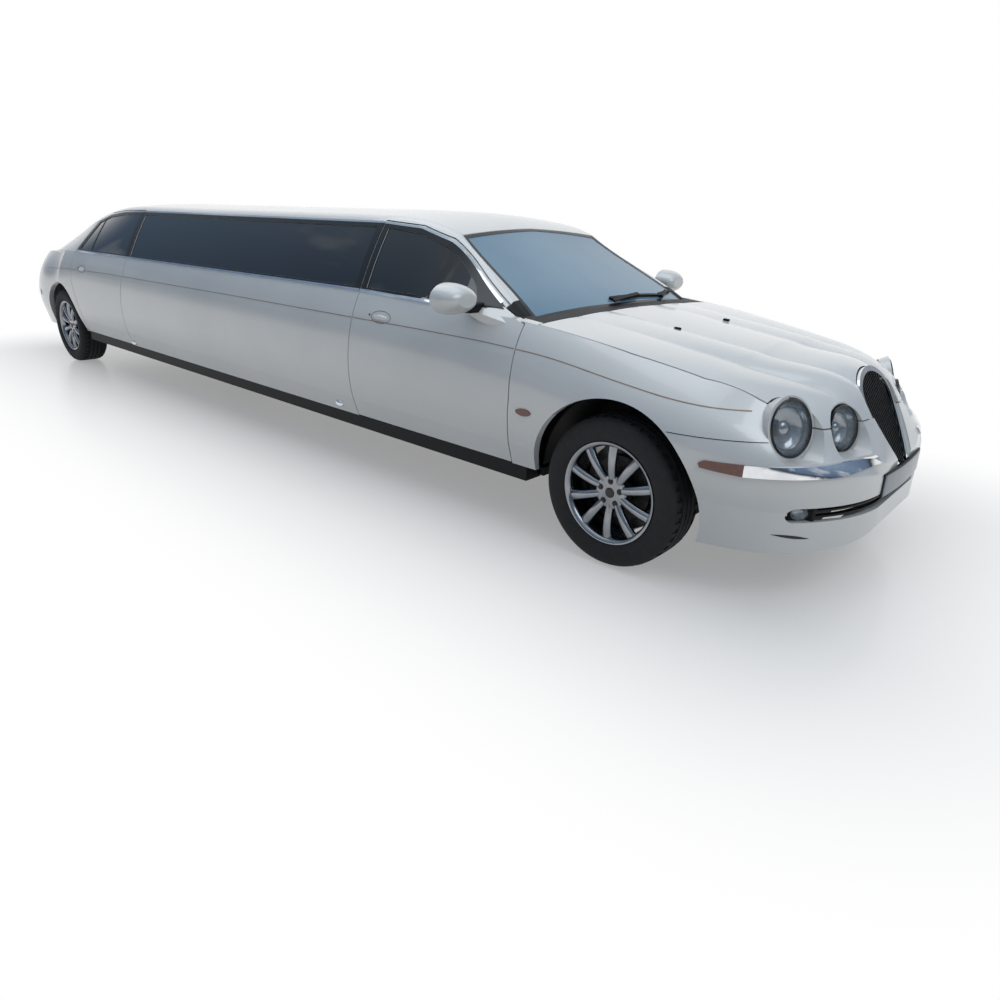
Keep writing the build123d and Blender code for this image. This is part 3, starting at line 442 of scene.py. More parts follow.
# Outlines of each pane and of the black frame round it, seen from the side
PANES = {
    "front_door": from_axle(FRONT_AXLE, (-0.850, 1.014), (-0.915, 1.074), (-1.184, 1.241), (-1.400, 1.300),
                            (-1.648, 1.321), (-1.648, 1.020)),
    "centre_panel": (from_axle(FRONT_AXLE, (-1.745, 1.020), (-1.745, 1.322))
                     + from_axle(REAR_AXLE, (1.415, 1.322), (1.415, 1.020))),
    "rear_door": from_axle(REAR_AXLE, (1.322, 1.020), (1.322, 1.321), (1.000, 1.315), (0.700, 1.290),
                           (0.492, 1.242), (0.345, 1.020)),
}
FRAMES = {
    "front_door": from_axle(FRONT_AXLE, (-0.690, 0.998), (-0.905, 1.111), (-1.184, 1.272), (-1.400, 1.327),
                            (-1.688, 1.344), (-1.688, 1.009)),
    "centre_panel": (from_axle(FRONT_AXLE, (-1.6975, 1.009), (-1.6975, 1.346))
                     + from_axle(REAR_AXLE, (1.3745, 1.346), (1.3745, 1.009))),
    "rear_door": from_axle(REAR_AXLE, (1.367, 1.009), (1.367, 1.344), (1.000, 1.338), (0.700, 1.312),
                           (0.452, 1.258), (0.300, 1.009)),
}
# Where the bright edge over the front door's window starts, at the foot of the windscreen pillar
PILLAR_FOOT = from_axle(FRONT_AXLE, (-0.735, 1.0217))
FRAME_TOP_FROM = 1.1
DIVIDER = {"x": REAR_AXLE + 0.608, "half_x": 0.011, "z": 1.146, "half_z": 0.122}
for side_name, side in SIDES:
    for panel, carrier in SIDE_PANELS:
        node = f"{panel}_{side_name}"
        body = carrier if carrier == "body" else node
        strip(node, COACH, 0.0019, side, 0.0006, 0.0008)
        settle(f"coach_line_{node}", body, COACH_LINE)
        if panel not in PANES:
            continue
        strip(node, WAIST, 0.0065, side, 0.002, 0.006)
        settle(f"waist_moulding_{node}", body, CHROME)
        flat_ring(grown(PANES[panel], 0.0005), FRAMES[panel], "side", side * OUTSIDE["y"], 10)
        lay_on(node, "y", 0.0015, 0.003)
        settle(f"window_frame_{node}", body, FRAME_BLACK)
        top = sorted([p for p in FRAMES[panel] if p[1] > FRAME_TOP_FROM], reverse=True)
        if panel == "front_door":
            top = PILLAR_FOOT + top
        if panel == "rear_door":
            top = top + FRAMES[panel][-1:]
        strip(node, top, 0.0045, side, 0.003, 0.005, (top[-1][0], top[0][0]), 60)
        settle(f"window_bright_{node}", body, CHROME)
    flat_grid(2, 16, lambda u, v: (DIVIDER["x"] + u * DIVIDER["half_x"], side * OUTSIDE["y"],
                                   DIVIDER["z"] + v * DIVIDER["half_z"]))
    lay_on(f"rear_door_glass_{side_name}", "y", 0.0015, 0.003)
    settle(f"quarter_light_divider_{side_name}", f"rear_door_{side_name}", FRAME_BLACK)

# Screen borders and wipers

SCREEN_LINE = from_axle(FRONT_AXLE, (-0.575, 0.680), (-1.180, 0.548), (-1.208, 0.0), (-1.180, -0.548),
                        (-0.575, -0.680), (-0.550, 0.0))
BACK_LINE = from_axle(REAR_AXLE, (0.655, 0.0), (0.640, 0.495), (-0.205, 0.585), (-0.222, 0.0),
                      (-0.205, -0.585), (0.640, -0.495))
for node, line in (("windscreen", SCREEN_LINE), ("rear_window", BACK_LINE)):
    flat_ring(grown(line, -0.022), grown(line, -0.0015), "plan", OUTSIDE["z"], 8)
    lay_on(node, "z", 0.0012, 0.0012)
    settle(f"{node}_border", "body", FRAME_BLACK)


def glass_bar(start, end, half, stand, thick):
    """A thin bar over the windscreen between two (x, y) points."""
    a, b = Vector(start), Vector(end)
    across = Vector((-(b - a).y, (b - a).x)).normalized()

    def spot(u, v):
        p = a + (b - a) * (u + 1) / 2 + across * v * half
        return p.x, p.y, OUTSIDE["z"]

    bar = flat_grid(24, 2, spot)
    lay_on("windscreen", "z", stand, thick)
    return bar


# Each wiper's pivot and tip in plan, measured from the front axle
WIPERS = (((-0.585, -0.06), (-0.612, 0.46)), ((-0.600, 0.44), (-0.655, 0.62)))
for number, ((px, py), (tx, ty)) in enumerate(WIPERS):
    blade = glass_bar((FRONT_AXLE + px - 0.02, py), (FRONT_AXLE + tx, ty), 0.006, 0.008, 0.012)
    middle = (FRONT_AXLE + (px + tx) / 2 - 0.008, (py + ty) / 2)
    arm = glass_bar((FRONT_AXLE + px + 0.01, py - 0.02), middle, 0.009, 0.020, 0.010)
    joined([blade, arm])
    settle(f"wiper_{number + 1}", "body", BLACK)

# Nose: domed lamp glasses over bowls with bulbs, black rims, fog lamps, a blank plate, and behind the grille
# a black plate of painted shade

LAMP_COLUMNS = ("x", "y", "z", "half_y", "half_z", "yaw", "pitch", "proud")
LAMPS = {"outer": (0.622, 0.620, 0.690, 0.100, 0.110, 24.0, 13.0, 0.002),
         "inner": (0.722, 0.360, 0.663, 0.080, 0.090, 20.0, 12.0, 0.010)}
# Rings of (depth, scale) along a lamp's axis, from the edge inwards
LENS_RINGS = ((-0.0135, 0.995), (-0.002, 0.995), (0.0025, 0.955), (0.0070, 0.86), (0.0105, 0.70),
              (0.0130, 0.48), (0.0142, 0.2))
BOWL_RINGS = ((-0.0150, 0.955), (-0.022, 0.93), (-0.034, 0.88), (-0.046, 0.80), (-0.056, 0.68),
              (-0.062, 0.5), (-0.064, 0.2))
RIM_RINGS = ((-0.013, 1.0), (0.0035, 1.0), (0.0060, 0.975), (0.0045, 0.945), (0.001, 0.94))
FOG_LENS_RINGS = tuple((depth * 0.6, scale) for depth, scale in LENS_RINGS)
FOG_BOWL_RINGS = tuple((depth * 0.5 - 0.002, scale) for depth, scale in BOWL_RINGS)
FOG_HALF, FOG_Z, FOG_Y, FOG_SET_BACK = (0.034, 0.027), 0.377, 0.640, 0.008
BULB_R, BULB_DEPTH, BULB_BACK = 0.3, 0.05, 0.040
lenses, bowls, bulbs, rims = [], [], [], []
for side_name, side in SIDES:
    for row in LAMPS.values():
        lamp = dict(zip(LAMP_COLUMNS, row))
        yaw, pitch = math.radians(lamp["yaw"]), math.radians(lamp["pitch"])
        axis = (math.cos(pitch) * math.cos(yaw), side * math.cos(pitch) * math.sin(yaw), math.sin(pitch))
        place = facing((FRONT_AXLE + lamp["x"], side * lamp["y"], lamp["z"]), axis)
        place = place @ Matrix.Translation((0, 0, lamp["proud"]))
        half = lamp["half_y"], lamp["half_z"]
        lenses.append(oval_rings(*half, LENS_RINGS, place))
        bowls.append(oval_rings(*half, BOWL_RINGS, place, hollow=True))
        modify("SOLIDIFY", thickness=0.002, offset=-1.0)
        rims.append(oval_rings(*half, RIM_RINGS, place, hollow=True, through=True))
        modify("SOLIDIFY", thickness=0.0015, offset=-1.0)
        deselect()
        bpy.ops.mesh.primitive_uv_sphere_add(segments=28, ring_count=14, radius=BULB_R)
        for v in bpy.context.object.data.vertices:
            v.co = place @ Vector((v.co.x * half[0], v.co.y * half[0], v.co.z * BULB_DEPTH - BULB_BACK))
        bulbs.append(bpy.context.object)
    ahead = Vector((RAY_AHEAD, side * FOG_Y, FOG_Z))
    _, spot, normal, _ = nodes["lamp_lenses"].ray_cast(ahead, Vector((-1, 0, 0)))
    place = facing(spot - normal * FOG_SET_BACK, normal)
    lenses.append(oval_rings(*FOG_HALF, FOG_LENS_RINGS, place))
    bowls.append(oval_rings(*FOG_HALF, FOG_BOWL_RINGS, place, hollow=True))
    modify("SOLIDIFY", thickness=0.001, offset=-1.0)
joined(lenses)
settle("lamp_glasses", "body", LENS, 60, replaces=("lamp_lenses",))
joined(bowls + bulbs)
settle("lamp_bowls", "body", REFLECTOR, 60, replaces=("headlamp_bowls",))
joined(rims)
settle("lamp_rims", "body", FRAME_BLACK, 50)

# The plate and its holder bow back towards their ends, as the bumper does
PLATE_CENTRE = Vector((FRONT_AXLE + 0.9023, 0.0, 0.436))
PLATE_BOW, PLATE_HALF, PLATE_STEP = 0.013, 0.26, 0.045
for name, material, size, back in (("front_plate", PLATE, (0.005, 0.508, 0.090), 0.0),
                                   ("plate_holder", BLACK, (0.008, 0.524, 0.102), 0.004)):
    board = rounded_box(PLATE_CENTRE - Vector((back, 0, 0)), size, 0.0022, 2)
    editing()
    for step in range(-5, 6):
        bpy.ops.mesh.select_all(action="SELECT")
        bpy.ops.mesh.bisect(plane_co=(0, step * PLATE_STEP, 0), plane_no=(0, 1, 0))
    done()
    for v in board.data.vertices:
        v.co.x -= PLATE_BOW * (v.co.y / PLATE_HALF) ** 2
    settle(name, "body", material)
# A black plate behind the grille bars: painted shade that hides the engine bay
rounded_box((FRONT_AXLE + 0.66, 0, 0.62), (0.01, 0.30, 0.36), 0.003, 2, tilt=-0.5)
settle("grille_shade_plate", "body", BLACK)
# Dark line where the wing meets the bumper, and a black strip on the chin that is painted shade standing for
# a narrow slot
WING_SEAM = from_axle(FRONT_AXLE, (0.60, 0.6505), (0.25, 0.6505))
CHIN_SLOT_SHADE = {"y": 0.655, "half_y": 0.055, "z": 0.288, "rise": 0.009, "half_z": 0.006}
for side_name, side in SIDES:
    strip(f"wing_{side_name}", WING_SEAM, 0.0013, side, 0.0003, 0.0008)
    settle(f"wing_seam_{side_name}", "body", FRAME_BLACK)
    # The black strip on the chin is painted shade for the slot's opening
    flat_grid(24, 2, lambda u, v: (
        OUTSIDE["x"], side * (CHIN_SLOT_SHADE["y"] + u * CHIN_SLOT_SHADE["half_y"]),
        CHIN_SLOT_SHADE["z"] + u * CHIN_SLOT_SHADE["rise"] + v * CHIN_SLOT_SHADE["half_z"] * (1 - u ** 2)))
    lay_on("front_bumper", "x", 0.0006, 0.0010)
    settle(f"chin_slot_shade_{side_name}", "body", FRAME_BLACK)
# Washer jets on the bonnet
JET_X, JET_Y = FRONT_AXLE - 0.094, 0.244
for side_name, side in SIDES:
    skin = hit("bonnet", (JET_X, side * JET_Y, RAY_ABOVE), (0, 0, -1))
    rounded_box((JET_X, side * JET_Y, skin.z + 0.003), (0.030, 0.022, 0.012), 0.004, 3, tilt=0.08)
    settle(f"washer_jet_{side_name}", "bonnet", BLACK)

# Wheels: modelled once at the origin with the outer face to -Y, then set at each hub

# Half of the tyre's section, (radius, y) from the bead over the wall and tread to the middle
TYRE_HALF = [(0.2225, -0.095), (0.234, -0.104), (0.252, -0.1105), (0.272, -0.112), (0.290, -0.1105),
             (0.304, -0.105), (0.3145, -0.096), (0.3205, -0.085), (0.3240, -0.072), (0.3252, -0.056),
             (0.3185, -0.054), (0.3185, -0.047), (0.3255, -0.045), (0.3260, -0.021), (0.3190, -0.0195),
             (0.3190, -0.0115), (0.3260, -0.010)]
TYRE_PROFILE = TYRE_HALF + [(r, -y) for r, y in reversed(TYRE_HALF)]
TYRE_STEPS, TREAD_FLOOR = 90, 0.3185
SHOULDER_FROM, SHOULDER_TO, GROOVE_DEPTH = 0.056, 0.090, 0.005
tyre = turned(TYRE_PROFILE, TYRE_STEPS)
# Every second step of the shoulder is a groove
editing()
bpy.ops.mesh.select_all(action="DESELECT")
bpy.ops.object.mode_set(mode="OBJECT")
for face in tyre.data.polygons:
    c = face.center
    radial = math.hypot(c.x, c.z)
    column = int(math.degrees(math.atan2(c.z, c.x)) % 360 / (360 / TYRE_STEPS))
    face.select = radial > TREAD_FLOOR and SHOULDER_FROM < abs(c.y) < SHOULDER_TO and column % 2 == 0
bpy.ops.object.mode_set(mode="EDIT")
bpy.ops.mesh.extrude_region_shrink_fatten(TRANSFORM_OT_shrink_fatten={"value": -GROOVE_DEPTH})
done()
tyre_model = bpy.context.object

# Rim: a lipped barrel, a hub and ten rounded spokes that bow outwards
BARREL = [(0.2205, -0.1000), (0.2212, -0.0950), (0.2200, -0.0850), (0.2060, -0.0790), (0.2040, 0.0800),
          (0.2200, 0.0880), (0.2205, 0.1000), (0.2140, 0.1000), (0.1980, 0.0800), (0.1960, -0.0560),
          (0.2000, -0.0800), (0.2060, -0.0930), (0.2130, -0.0990)]
HUB = [(0.0005, -0.0790), (0.0560, -0.0790), (0.0690, -0.0760), (0.0750, -0.0680), (0.0750, -0.0300),
       (0.0005, -0.0300)]
SPOKES, SPOKE_FROM, SPOKE_LENGTH, SPOKE_FACE = 10, 0.056, 0.146, -0.062
SPOKE_HALF, SPOKE_FLARE, SPOKE_DEPTH, SPOKE_BOW, SPOKE_LEAN = 0.0185, 0.0050, 0.0180, 0.010, 0.008
rim_pieces = [turned(BARREL, 80), turned(HUB, 60)]
for number in range(SPOKES):
    deselect()
    bpy.ops.mesh.primitive_cylinder_add(vertices=20, radius=1, depth=1, end_fill_type="TRIFAN")
    spoke = bpy.context.object
    editing("EDGE")
    for level in (0, -0.25, 0.25):
        bpy.ops.mesh.select_all(action="SELECT")
        bpy.ops.mesh.bisect(plane_co=(0, 0, level), plane_no=(0, 0, 1))
    bpy.ops.object.mode_set(mode="OBJECT")
    for v in spoke.data.vertices:
        share = v.co.z + 0.5
        bow = SPOKE_BOW * (1 - (2 * share - 1) ** 2)
        v.co = (SPOKE_FROM + SPOKE_LENGTH * share,
                SPOKE_FACE - bow - SPOKE_LEAN * share + v.co.y * SPOKE_DEPTH,
                v.co.x * (SPOKE_HALF + SPOKE_FLARE * share))
    spoke.data.transform(Matrix.Rotation(2 * math.pi * (number + 0.5) / SPOKES, 4, "Y"))
    editing()
    done()
    rim_pieces.append(spoke)
rim_model = joined(rim_pieces)

# Brake disc, and in black the centre cap, the five wells of the wheel bolts, whose black is painted shade in
# the bolt recesses, and the dust shield
DISC = [(0.060, 0.006), (0.140, 0.006), (0.141, 0.008), (0.141, 0.028), (0.140, 0.030), (0.060, 0.030)]
CAP = [(0.0005, -0.0845), (0.0150, -0.0840), (0.0205, -0.0825), (0.0225, -0.0795), (0.0225, -0.0730),
       (0.0005, -0.0730)]
SHIELD = [(0.0700, 0.0340), (0.1880, 0.0340), (0.1880, 0.0370), (0.0700, 0.0370)]
BOLTS, BOLT_CIRCLE, BOLT_DEPTH = 5, 0.050, 0.008
BOLT_R, BOLT_Y, SHADE_WELL_R, SHADE_WELL_Y = 0.0085, -0.0785, 0.0135, -0.0760
disc_model = turned(DISC, 48)
cap_and_shade_pieces = [turned(CAP, 40), turned(SHIELD, 48)]
bolts = []
for number in range(BOLTS):
    turn = 2 * math.pi * (number + 0.25) / BOLTS
    x, z = BOLT_CIRCLE * math.cos(turn), BOLT_CIRCLE * math.sin(turn)
    deselect()
    # A black disc round each bolt: painted shade of the bolt's recess in the hub
    bpy.ops.mesh.primitive_cylinder_add(vertices=28, radius=SHADE_WELL_R, depth=BOLT_DEPTH, location=(x, SHADE_WELL_Y, z),
                                        rotation=(math.pi / 2, 0, 0))
    cap_and_shade_pieces.append(bpy.context.object)
    bpy.ops.mesh.primitive_cylinder_add(vertices=6, radius=BOLT_R, depth=BOLT_DEPTH, location=(x, BOLT_Y, z),
                                        rotation=(math.pi / 2, 0, 0))
    editing("EDGE")
    bpy.ops.mesh.bevel(offset=0.001, segments=2)
    done()
    bolts.append(bpy.context.object)
cap_and_shade_model = joined(cap_and_shade_pieces)
bpy.ops.object.transform_apply(location=True, rotation=True, scale=True)
bolt_model = joined(bolts)
bpy.ops.object.transform_apply(location=True, rotation=True, scale=True)

WHEEL_PARTS = (("tyre", tyre_model, RUBBER, "tyre"), ("rim", rim_model, ALLOY, "wheel_alloy"),
               ("brake_disc", disc_model, IRON, None), ("hub_cap", cap_and_shade_model, FRAME_BLACK, None),
               ("wheel_bolts", bolt_model, IRON, None))
for end, axle in (("front", FRONT_AXLE), ("rear", REAR_AXLE)):
    for side_name, side in SIDES:
        set_at = Matrix.Translation((axle, side * TRACK_HALF, TYRE_R))
        if side > 0:
            set_at = set_at @ Matrix.Rotation(math.pi, 4, "Z")
        for part, model, material, slot in WHEEL_PARTS:
            piece = copy_of(model)
            piece.data.transform(set_at)
            node = f"{part}_{end}_{side_name}"
            settle(f"{node}_dressed", f"wheel_{end}_{side_name}", material,
                   replaces=(node,) if node in nodes else ())
for model in (tyre_model, rim_model, disc_model, cap_and_shade_model, bolt_model):
    bpy.data.objects.remove(model)

# Doors: handles with keyholes, lamps low on the centre panels, mirror glass and feet

HANDLES = (("front_door", FRONT_AXLE - 1.463, 0.890), ("rear_door", FRONT_AXLE - 5.488, 0.866))
for panel, x, z in HANDLES:
    for side_name, side in SIDES:
        node = f"{panel}_{side_name}"
        skin = hit(node, (x, side * RAY_SIDE, z), (0, -side, 0))
        deselect()
        bpy.ops.mesh.primitive_uv_sphere_add(segments=40, ring_count=20, radius=1,
                                             location=(x - 0.004, skin.y, z - 0.004),
                                             scale=(0.058, 0.013, 0.0145))
        settle(f"handle_{node}", node, PEARL, 60)
        # A thin black oval round each handle: painted shade at the edge of the handle's recess
        flat_ring(ellipse(x, z, 0.0745, 0.0285), ellipse(x, z, 0.0765, 0.0305), "side",
                  side * OUTSIDE["y"], 0)
        lay_on(node, "y", 0.0004, 0.0010)
        settle(f"handle_recess_shade_{node}", node, FRAME_BLACK)
        deselect()
        bpy.ops.mesh.primitive_cylinder_add(vertices=24, radius=0.0055, depth=0.003,
                                            location=(x - 0.092, skin.y, z + 0.004),
                                            rotation=(math.pi / 2, 0, 0))
        settle(f"keyhole_{node}", node, FRAME_BLACK)

# Courtesy lamps low on the centre panels: small plated domes
for side_name, side in SIDES:
    domes = []
    for x, z in ((FRONT_AXLE - 1.851, 0.368), (FRONT_AXLE - 4.622, 0.352)):
        skin = hit(f"centre_panel_{side_name}", (x, side * RAY_SIDE, z), (0, -side, 0))
        deselect()
        bpy.ops.mesh.primitive_uv_sphere_add(segments=32, ring_count=16, radius=1, location=skin,
                                             scale=(0.036, 0.018, 0.022))
        domes.append(bpy.context.object)
    joined(domes)
    settle(f"courtesy_lamps_{side_name}", "body", CHROME, 60)

for side_name, side in SIDES:
    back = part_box(f"mirror_{side_name}")[0].x
    deselect()
    bpy.ops.mesh.primitive_cylinder_add(vertices=48, radius=1, depth=0.004, rotation=(0, math.pi / 2, 0),
                                        location=(back - 0.001, side * 0.938, 1.040), scale=(0.062, 0.095, 1))
    bpy.ops.object.transform_apply(location=True, rotation=True, scale=True)
    editing("EDGE")
    bpy.ops.mesh.bevel(offset=0.0012, segments=2)
    done()
    settle(f"mirror_glass_{side_name}", f"front_door_{side_name}", SILVERED)
    rounded_box((FRONT_AXLE - 0.835, side * 0.806, 0.998), (0.064, 0.130, 0.044), 0.012)
    settle(f"mirror_foot_{side_name}", f"front_door_{side_name}", BLACK)

# Cabin: stuffed seats in hide, steering wheel, inside mirror

def pad(centre, size, crown, tilt=0.0):
    """A stuffed block: crowned faces, sides drawn in towards the corners."""
    deselect()
    bpy.ops.mesh.primitive_cube_add(size=1, scale=size)
    bpy.ops.object.transform_apply(scale=True)
    editing()
    bpy.ops.mesh.subdivide(number_cuts=7)
    bpy.ops.object.mode_set(mode="OBJECT")
    block = bpy.context.object
    half = [s / 2 for s in size]
    for v in block.data.vertices:
        shares = [v.co[n] / half[n] for n in range(3)]
        for n in range(3):
            others = [1 - shares[m] ** 2 for m in range(3) if m != n]
            v.co[n] += shares[n] * crown * (others[0] * others[1] - 0.6)
    block.data.transform(Matrix.Translation(centre) @ Matrix.Rotation(tilt, 4, "Y"))
    modify("SUBSURF", levels=1, render_levels=1)
    return block


seats = []
for side in (1, -1):
    y = side * 0.365
    seats += [pad((FRONT_AXLE - 1.37, y, 0.470), (0.50, 0.49, 0.16), 0.02, 0.06),
              pad((FRONT_AXLE - 1.68, y, 0.775), (0.14, 0.47, 0.55), 0.02, -0.20),
              pad((FRONT_AXLE - 1.715, y, 1.085), (0.09, 0.26, 0.16), 0.015, -0.10)]
piece = joined(seats)
settle("front_seat_pads", "body", HIDE, 60, replaces=("front_seats",))
long_seat = []
SOFA_FROM, SOFA_TO, SOFA_PARTS = REAR_AXLE + 0.92, FRONT_AXLE - 2.02, 5
for number in range(SOFA_PARTS):
    width = (SOFA_TO - SOFA_FROM) / SOFA_PARTS
    x = SOFA_FROM + (number + 0.5) * width
    long_seat += [pad((x, 0.50, 0.43), (width - 0.004, 0.34, 0.25), 0.018),
                  pad((x, 0.62, 0.74), (width - 0.004, 0.12, 0.32), 0.015)]
for number in (-1, 0, 1):
    y = number * 0.36
    long_seat += [pad((REAR_AXLE + 0.68, y, 0.54), (0.42, 0.355, 0.11), 0.015),
                  pad((REAR_AXLE + 0.34, y, 0.83), (0.13, 0.355, 0.48), 0.015, -0.24)]
piece = joined(long_seat)
settle("passenger_seat_pads", "body", HIDE, 60, replaces=("passenger_seats",))

WHEEL_CENTRE = Vector((FRONT_AXLE - 0.985, -0.365, 0.800))
WHEEL_TILT = 0.45
deselect()
bpy.ops.mesh.primitive_torus_add(major_radius=0.178, minor_radius=0.014, major_segments=56, minor_segments=14)
spokes = [bpy.context.object]
for turn in (0.0, math.pi, -math.pi / 2):
    bpy.ops.mesh.primitive_cube_add(size=1, scale=(0.17, 0.030, 0.012), rotation=(0, 0, turn),
                                    location=(0.09 * math.cos(turn), 0.09 * math.sin(turn), 0))
    spokes.append(bpy.context.object)
bpy.ops.mesh.primitive_cylinder_add(vertices=40, radius=0.062, depth=0.034)
editing("EDGE")
bpy.ops.mesh.bevel(offset=0.008, segments=3)
done()
spokes.append(bpy.context.object)
bpy.ops.mesh.primitive_cylinder_add(vertices=24, radius=0.024, depth=0.075, location=(0, 0, -0.032))
spokes.append(bpy.context.object)
wheel = joined(spokes)
bpy.ops.object.transform_apply(location=True, rotation=True, scale=True)
axis = Vector((-math.cos(WHEEL_TILT), 0, math.sin(WHEEL_TILT)))
across = Vector((0, -1, 0))
up = axis.cross(across)
basis = Matrix((across, up, axis)).transposed().to_4x4()
wheel.data.transform(Matrix.Translation(WHEEL_CENTRE + axis * 0.013) @ basis)
settle("steering_wheel_dressed", "steering_wheel", CABIN, 50, replaces=("steering_wheel",))

rounded_box((FRONT_AXLE - 1.235, 0.0, 1.265), (0.05, 0.23, 0.065), 0.016)
settle("inside_mirror", "body", CABIN)

# Stage: pale floor, soft lights, camera

deselect()
bpy.ops.mesh.primitive_plane_add(size=160)
floor = bpy.context.object
floor.name = "floor"
# Pale painted floor, slightly glossy; away from the car it turns to the plain white of the backdrop, and for
# the eye, gloss and glass 30% of that white glow stays even under the car, painted light that lightens the
# car's shadow
FLOOR = finish("pale_floor", ("#c6c4c1", "#cccac7"), 3000.0, {"Roughness": 0.22, "Specular IOR Level": 0.4})
# Half lengths of the patch under the car that keeps most of the floor's own colour
UNDER_CAR = (3.7, 0.7, 0.0)
tree = FLOOR.node_tree
place = put(tree, "ShaderNodeTexCoord")
spread = put(tree, "ShaderNodeVectorMath", {"operation": "ABSOLUTE"}, links={0: place.outputs["Object"]})
past = put(tree, "ShaderNodeVectorMath", {"operation": "SUBTRACT"}, {1: UNDER_CAR},
           {0: spread.outputs["Vector"]})
beyond = put(tree, "ShaderNodeVectorMath", {"operation": "MAXIMUM"}, {1: (0, 0, 0)},
             {0: past.outputs["Vector"]})
away = put(tree, "ShaderNodeVectorMath", {"operation": "LENGTH"}, links={0: beyond.outputs["Vector"]})
# The white glow never falls below 30%: painted light over the car's shadow
fade = put(tree, "ShaderNodeMapRange", {"interpolation_type": "SMOOTHSTEP"},
           {"From Min": -0.1, "From Max": 1.5, "To Min": 0.30}, {"Value": away.outputs["Value"]})
rays = put(tree, "ShaderNodeLightPath")
mirrored = put(tree, "ShaderNodeMath", {"operation": "MAXIMUM"},
               links={0: rays.outputs["Is Glossy Ray"], 1: rays.outputs["Is Transmission Ray"]})
seen = put(tree, "ShaderNodeMath", {"operation": "MAXIMUM"},
           links={0: rays.outputs["Is Camera Ray"], 1: mirrored.outputs["Value"]})
share = put(tree, "ShaderNodeMath", {"operation": "MULTIPLY"},
            links={0: fade.outputs["Result"], 1: seen.outputs["Value"]})
white = put(tree, "ShaderNodeEmission", values={"Color": srgb("#ffffff"), "Strength": 1.0})
mixed = put(tree, "ShaderNodeMixShader", links={"Fac": share.outputs["Value"], 2: white.outputs["Emission"]})
tree.links.new(tree.nodes["Principled BSDF"].outputs["BSDF"], mixed.inputs[1])
tree.links.new(mixed.outputs["Shader"], tree.nodes["Material Output"].inputs["Surface"])
floor.data.materials.append(FLOOR)
floor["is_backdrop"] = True

# White backdrop behind the car; the open side of the room is dim near the floor, with cloudy light above
world = bpy.data.worlds.new("studio")
bpy.context.scene.world = world
world.use_nodes = True
sky = world.node_tree
looking = put(sky, "ShaderNodeTexCoord").outputs["Generated"]
height = put(sky, "ShaderNodeSeparateXYZ", links={"Vector": looking}).outputs["Z"]
room = put(sky, "ShaderNodeValToRGB", links={"Fac": height},
           stops=((0.0, "#1b1e22"), (0.10, "#23282e"), (0.17, "#62738b"), (0.40, "#7c91aa"),
                  (0.65, "#a3b5c8"), (1.0, "#d2dde8")))
puffs = put(sky, "ShaderNodeTexNoise", values={"Scale": 4.0, "Detail": 6.0}, links={"Vector": looking})
cloud = put(sky, "ShaderNodeMapRange", values={"From Min": 0.50, "From Max": 0.68, "To Max": 0.55},
            links={"Value": puffs.outputs["Fac"]})
high = put(sky, "ShaderNodeMapRange", values={"From Min": 0.08, "From Max": 0.2}, links={"Value": height})
cover = put(sky, "ShaderNodeMath", {"operation": "MULTIPLY"},
            links={0: cloud.outputs["Result"], 1: high.outputs["Result"]})
cloudy = put(sky, "ShaderNodeMix", {"data_type": "RGBA"}, {"B": srgb("#ffffff")},
             {"Factor": cover.outputs["Value"], "A": room.outputs["Color"]})
backdrop = put(sky, "ShaderNodeValToRGB", links={"Fac": height},
               stops=((0.0, "#ffffff"), (0.45, "#ffffff"), (1.0, "#e6f0fa")))
BACKDROP_SIDE = (-0.65, 0.76, 0.0)
facing_back = put(sky, "ShaderNodeVectorMath", {"operation": "DOT_PRODUCT"}, {1: BACKDROP_SIDE}, {0: looking})
behind = put(sky, "ShaderNodeMapRange", {"interpolation_type": "SMOOTHSTEP"},
             {"From Min": 0.45, "From Max": 0.74}, {"Value": facing_back.outputs["Value"]})
# The eye meets white all round, through glass too; gloss shows it along the horizon and behind the car
paths = put(sky, "ShaderNodeLightPath")
horizon = put(sky, "ShaderNodeMapRange", links={"Value": height},
              values={"From Min": 0.04, "From Max": 0.11, "To Min": 1.0, "To Max": 0.0})
glossy = put(sky, "ShaderNodeMath", {"operation": "MULTIPLY"},
             links={0: paths.outputs["Is Glossy Ray"], 1: horizon.outputs["Result"]})
direct = put(sky, "ShaderNodeMath", {"operation": "MAXIMUM"},
             links={0: paths.outputs["Is Camera Ray"], 1: paths.outputs["Is Transmission Ray"]})
shown = put(sky, "ShaderNodeMath", {"operation": "MAXIMUM"},
            links={0: direct.outputs["Value"], 1: glossy.outputs["Value"]})
white_share = put(sky, "ShaderNodeMath", {"operation": "MAXIMUM"},
                  links={0: behind.outputs["Result"], 1: shown.outputs["Value"]})
view = put(sky, "ShaderNodeMix", {"data_type": "RGBA"},
           links={"Factor": white_share.outputs["Value"], "A": cloudy.outputs["Result"],
                  "B": backdrop.outputs["Color"]})
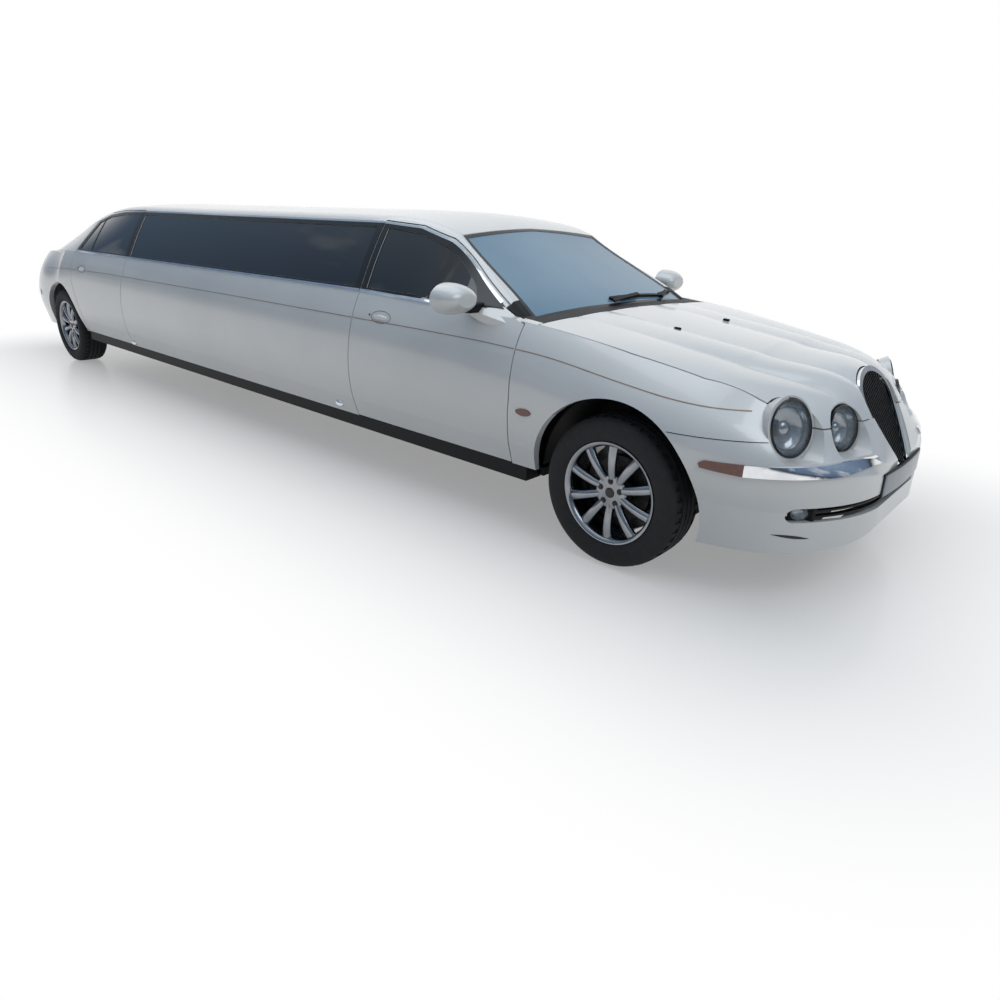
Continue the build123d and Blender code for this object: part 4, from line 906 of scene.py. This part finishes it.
sky.links.new(view.outputs["Result"], sky.nodes["Background"].inputs["Color"])
sky.nodes["Background"].inputs["Strength"].default_value = 1.0


def soft_lamp(name, place, aim, size, watts, colour):
    light = bpy.data.lights.new(name, "AREA")
    light.shape = "RECTANGLE"
    light.size, light.size_y = size
    light.energy = watts
    light.color = srgb(colour)[:3]
    lamp = bpy.data.objects.new(name, light)
    bpy.context.collection.objects.link(lamp)
    lamp.location = place
    lamp.rotation_euler = (Vector(aim) - Vector(place)).to_track_quat("-Z", "Y").to_euler()


soft_lamp("overhead", (0.0, 0.0, 6.0), (0, 0, 0), (9.0, 4.0), 125.0, "#f2f8ff")
soft_lamp("nose", (8.0, -1.0, 6.0), (3.0, 0, 0.6), (4.0, 4.0), 130.0, "#f2f8ff")

CAMERA_PLACE = Vector((4.6308, -3.2214, 1.3944))
CAMERA_TURN, CAMERA_DIP, CAMERA_ROLL = 0.707, 0.345, 0.032
SENSOR, FOCAL_SHARE, CAMERA_SHIFT = 36.0, 0.72142, (-0.02193, -0.02335)
forward = Vector((-math.sin(CAMERA_TURN) * math.cos(CAMERA_DIP), math.cos(CAMERA_TURN) * math.cos(CAMERA_DIP),
                  -math.sin(CAMERA_DIP)))
right = forward.cross(Vector((0, 0, 1))).normalized()
upward = right.cross(forward)
right, upward = (right * math.cos(CAMERA_ROLL) + upward * math.sin(CAMERA_ROLL),
                 upward * math.cos(CAMERA_ROLL) - right * math.sin(CAMERA_ROLL))
lens = bpy.data.cameras.new("camera")
lens.sensor_width = SENSOR
lens.sensor_fit = "HORIZONTAL"
lens.lens = SENSOR * FOCAL_SHARE
lens.shift_x, lens.shift_y = CAMERA_SHIFT
camera = bpy.data.objects.new("camera", lens)
bpy.context.collection.objects.link(camera)
turned_to = Matrix((right, upward, -forward)).transposed().to_4x4()
camera.matrix_world = Matrix.Translation(CAMERA_PLACE) @ turned_to
bpy.context.scene.camera = camera
bpy.context.scene.view_settings.view_transform = "Standard"

low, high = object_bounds()
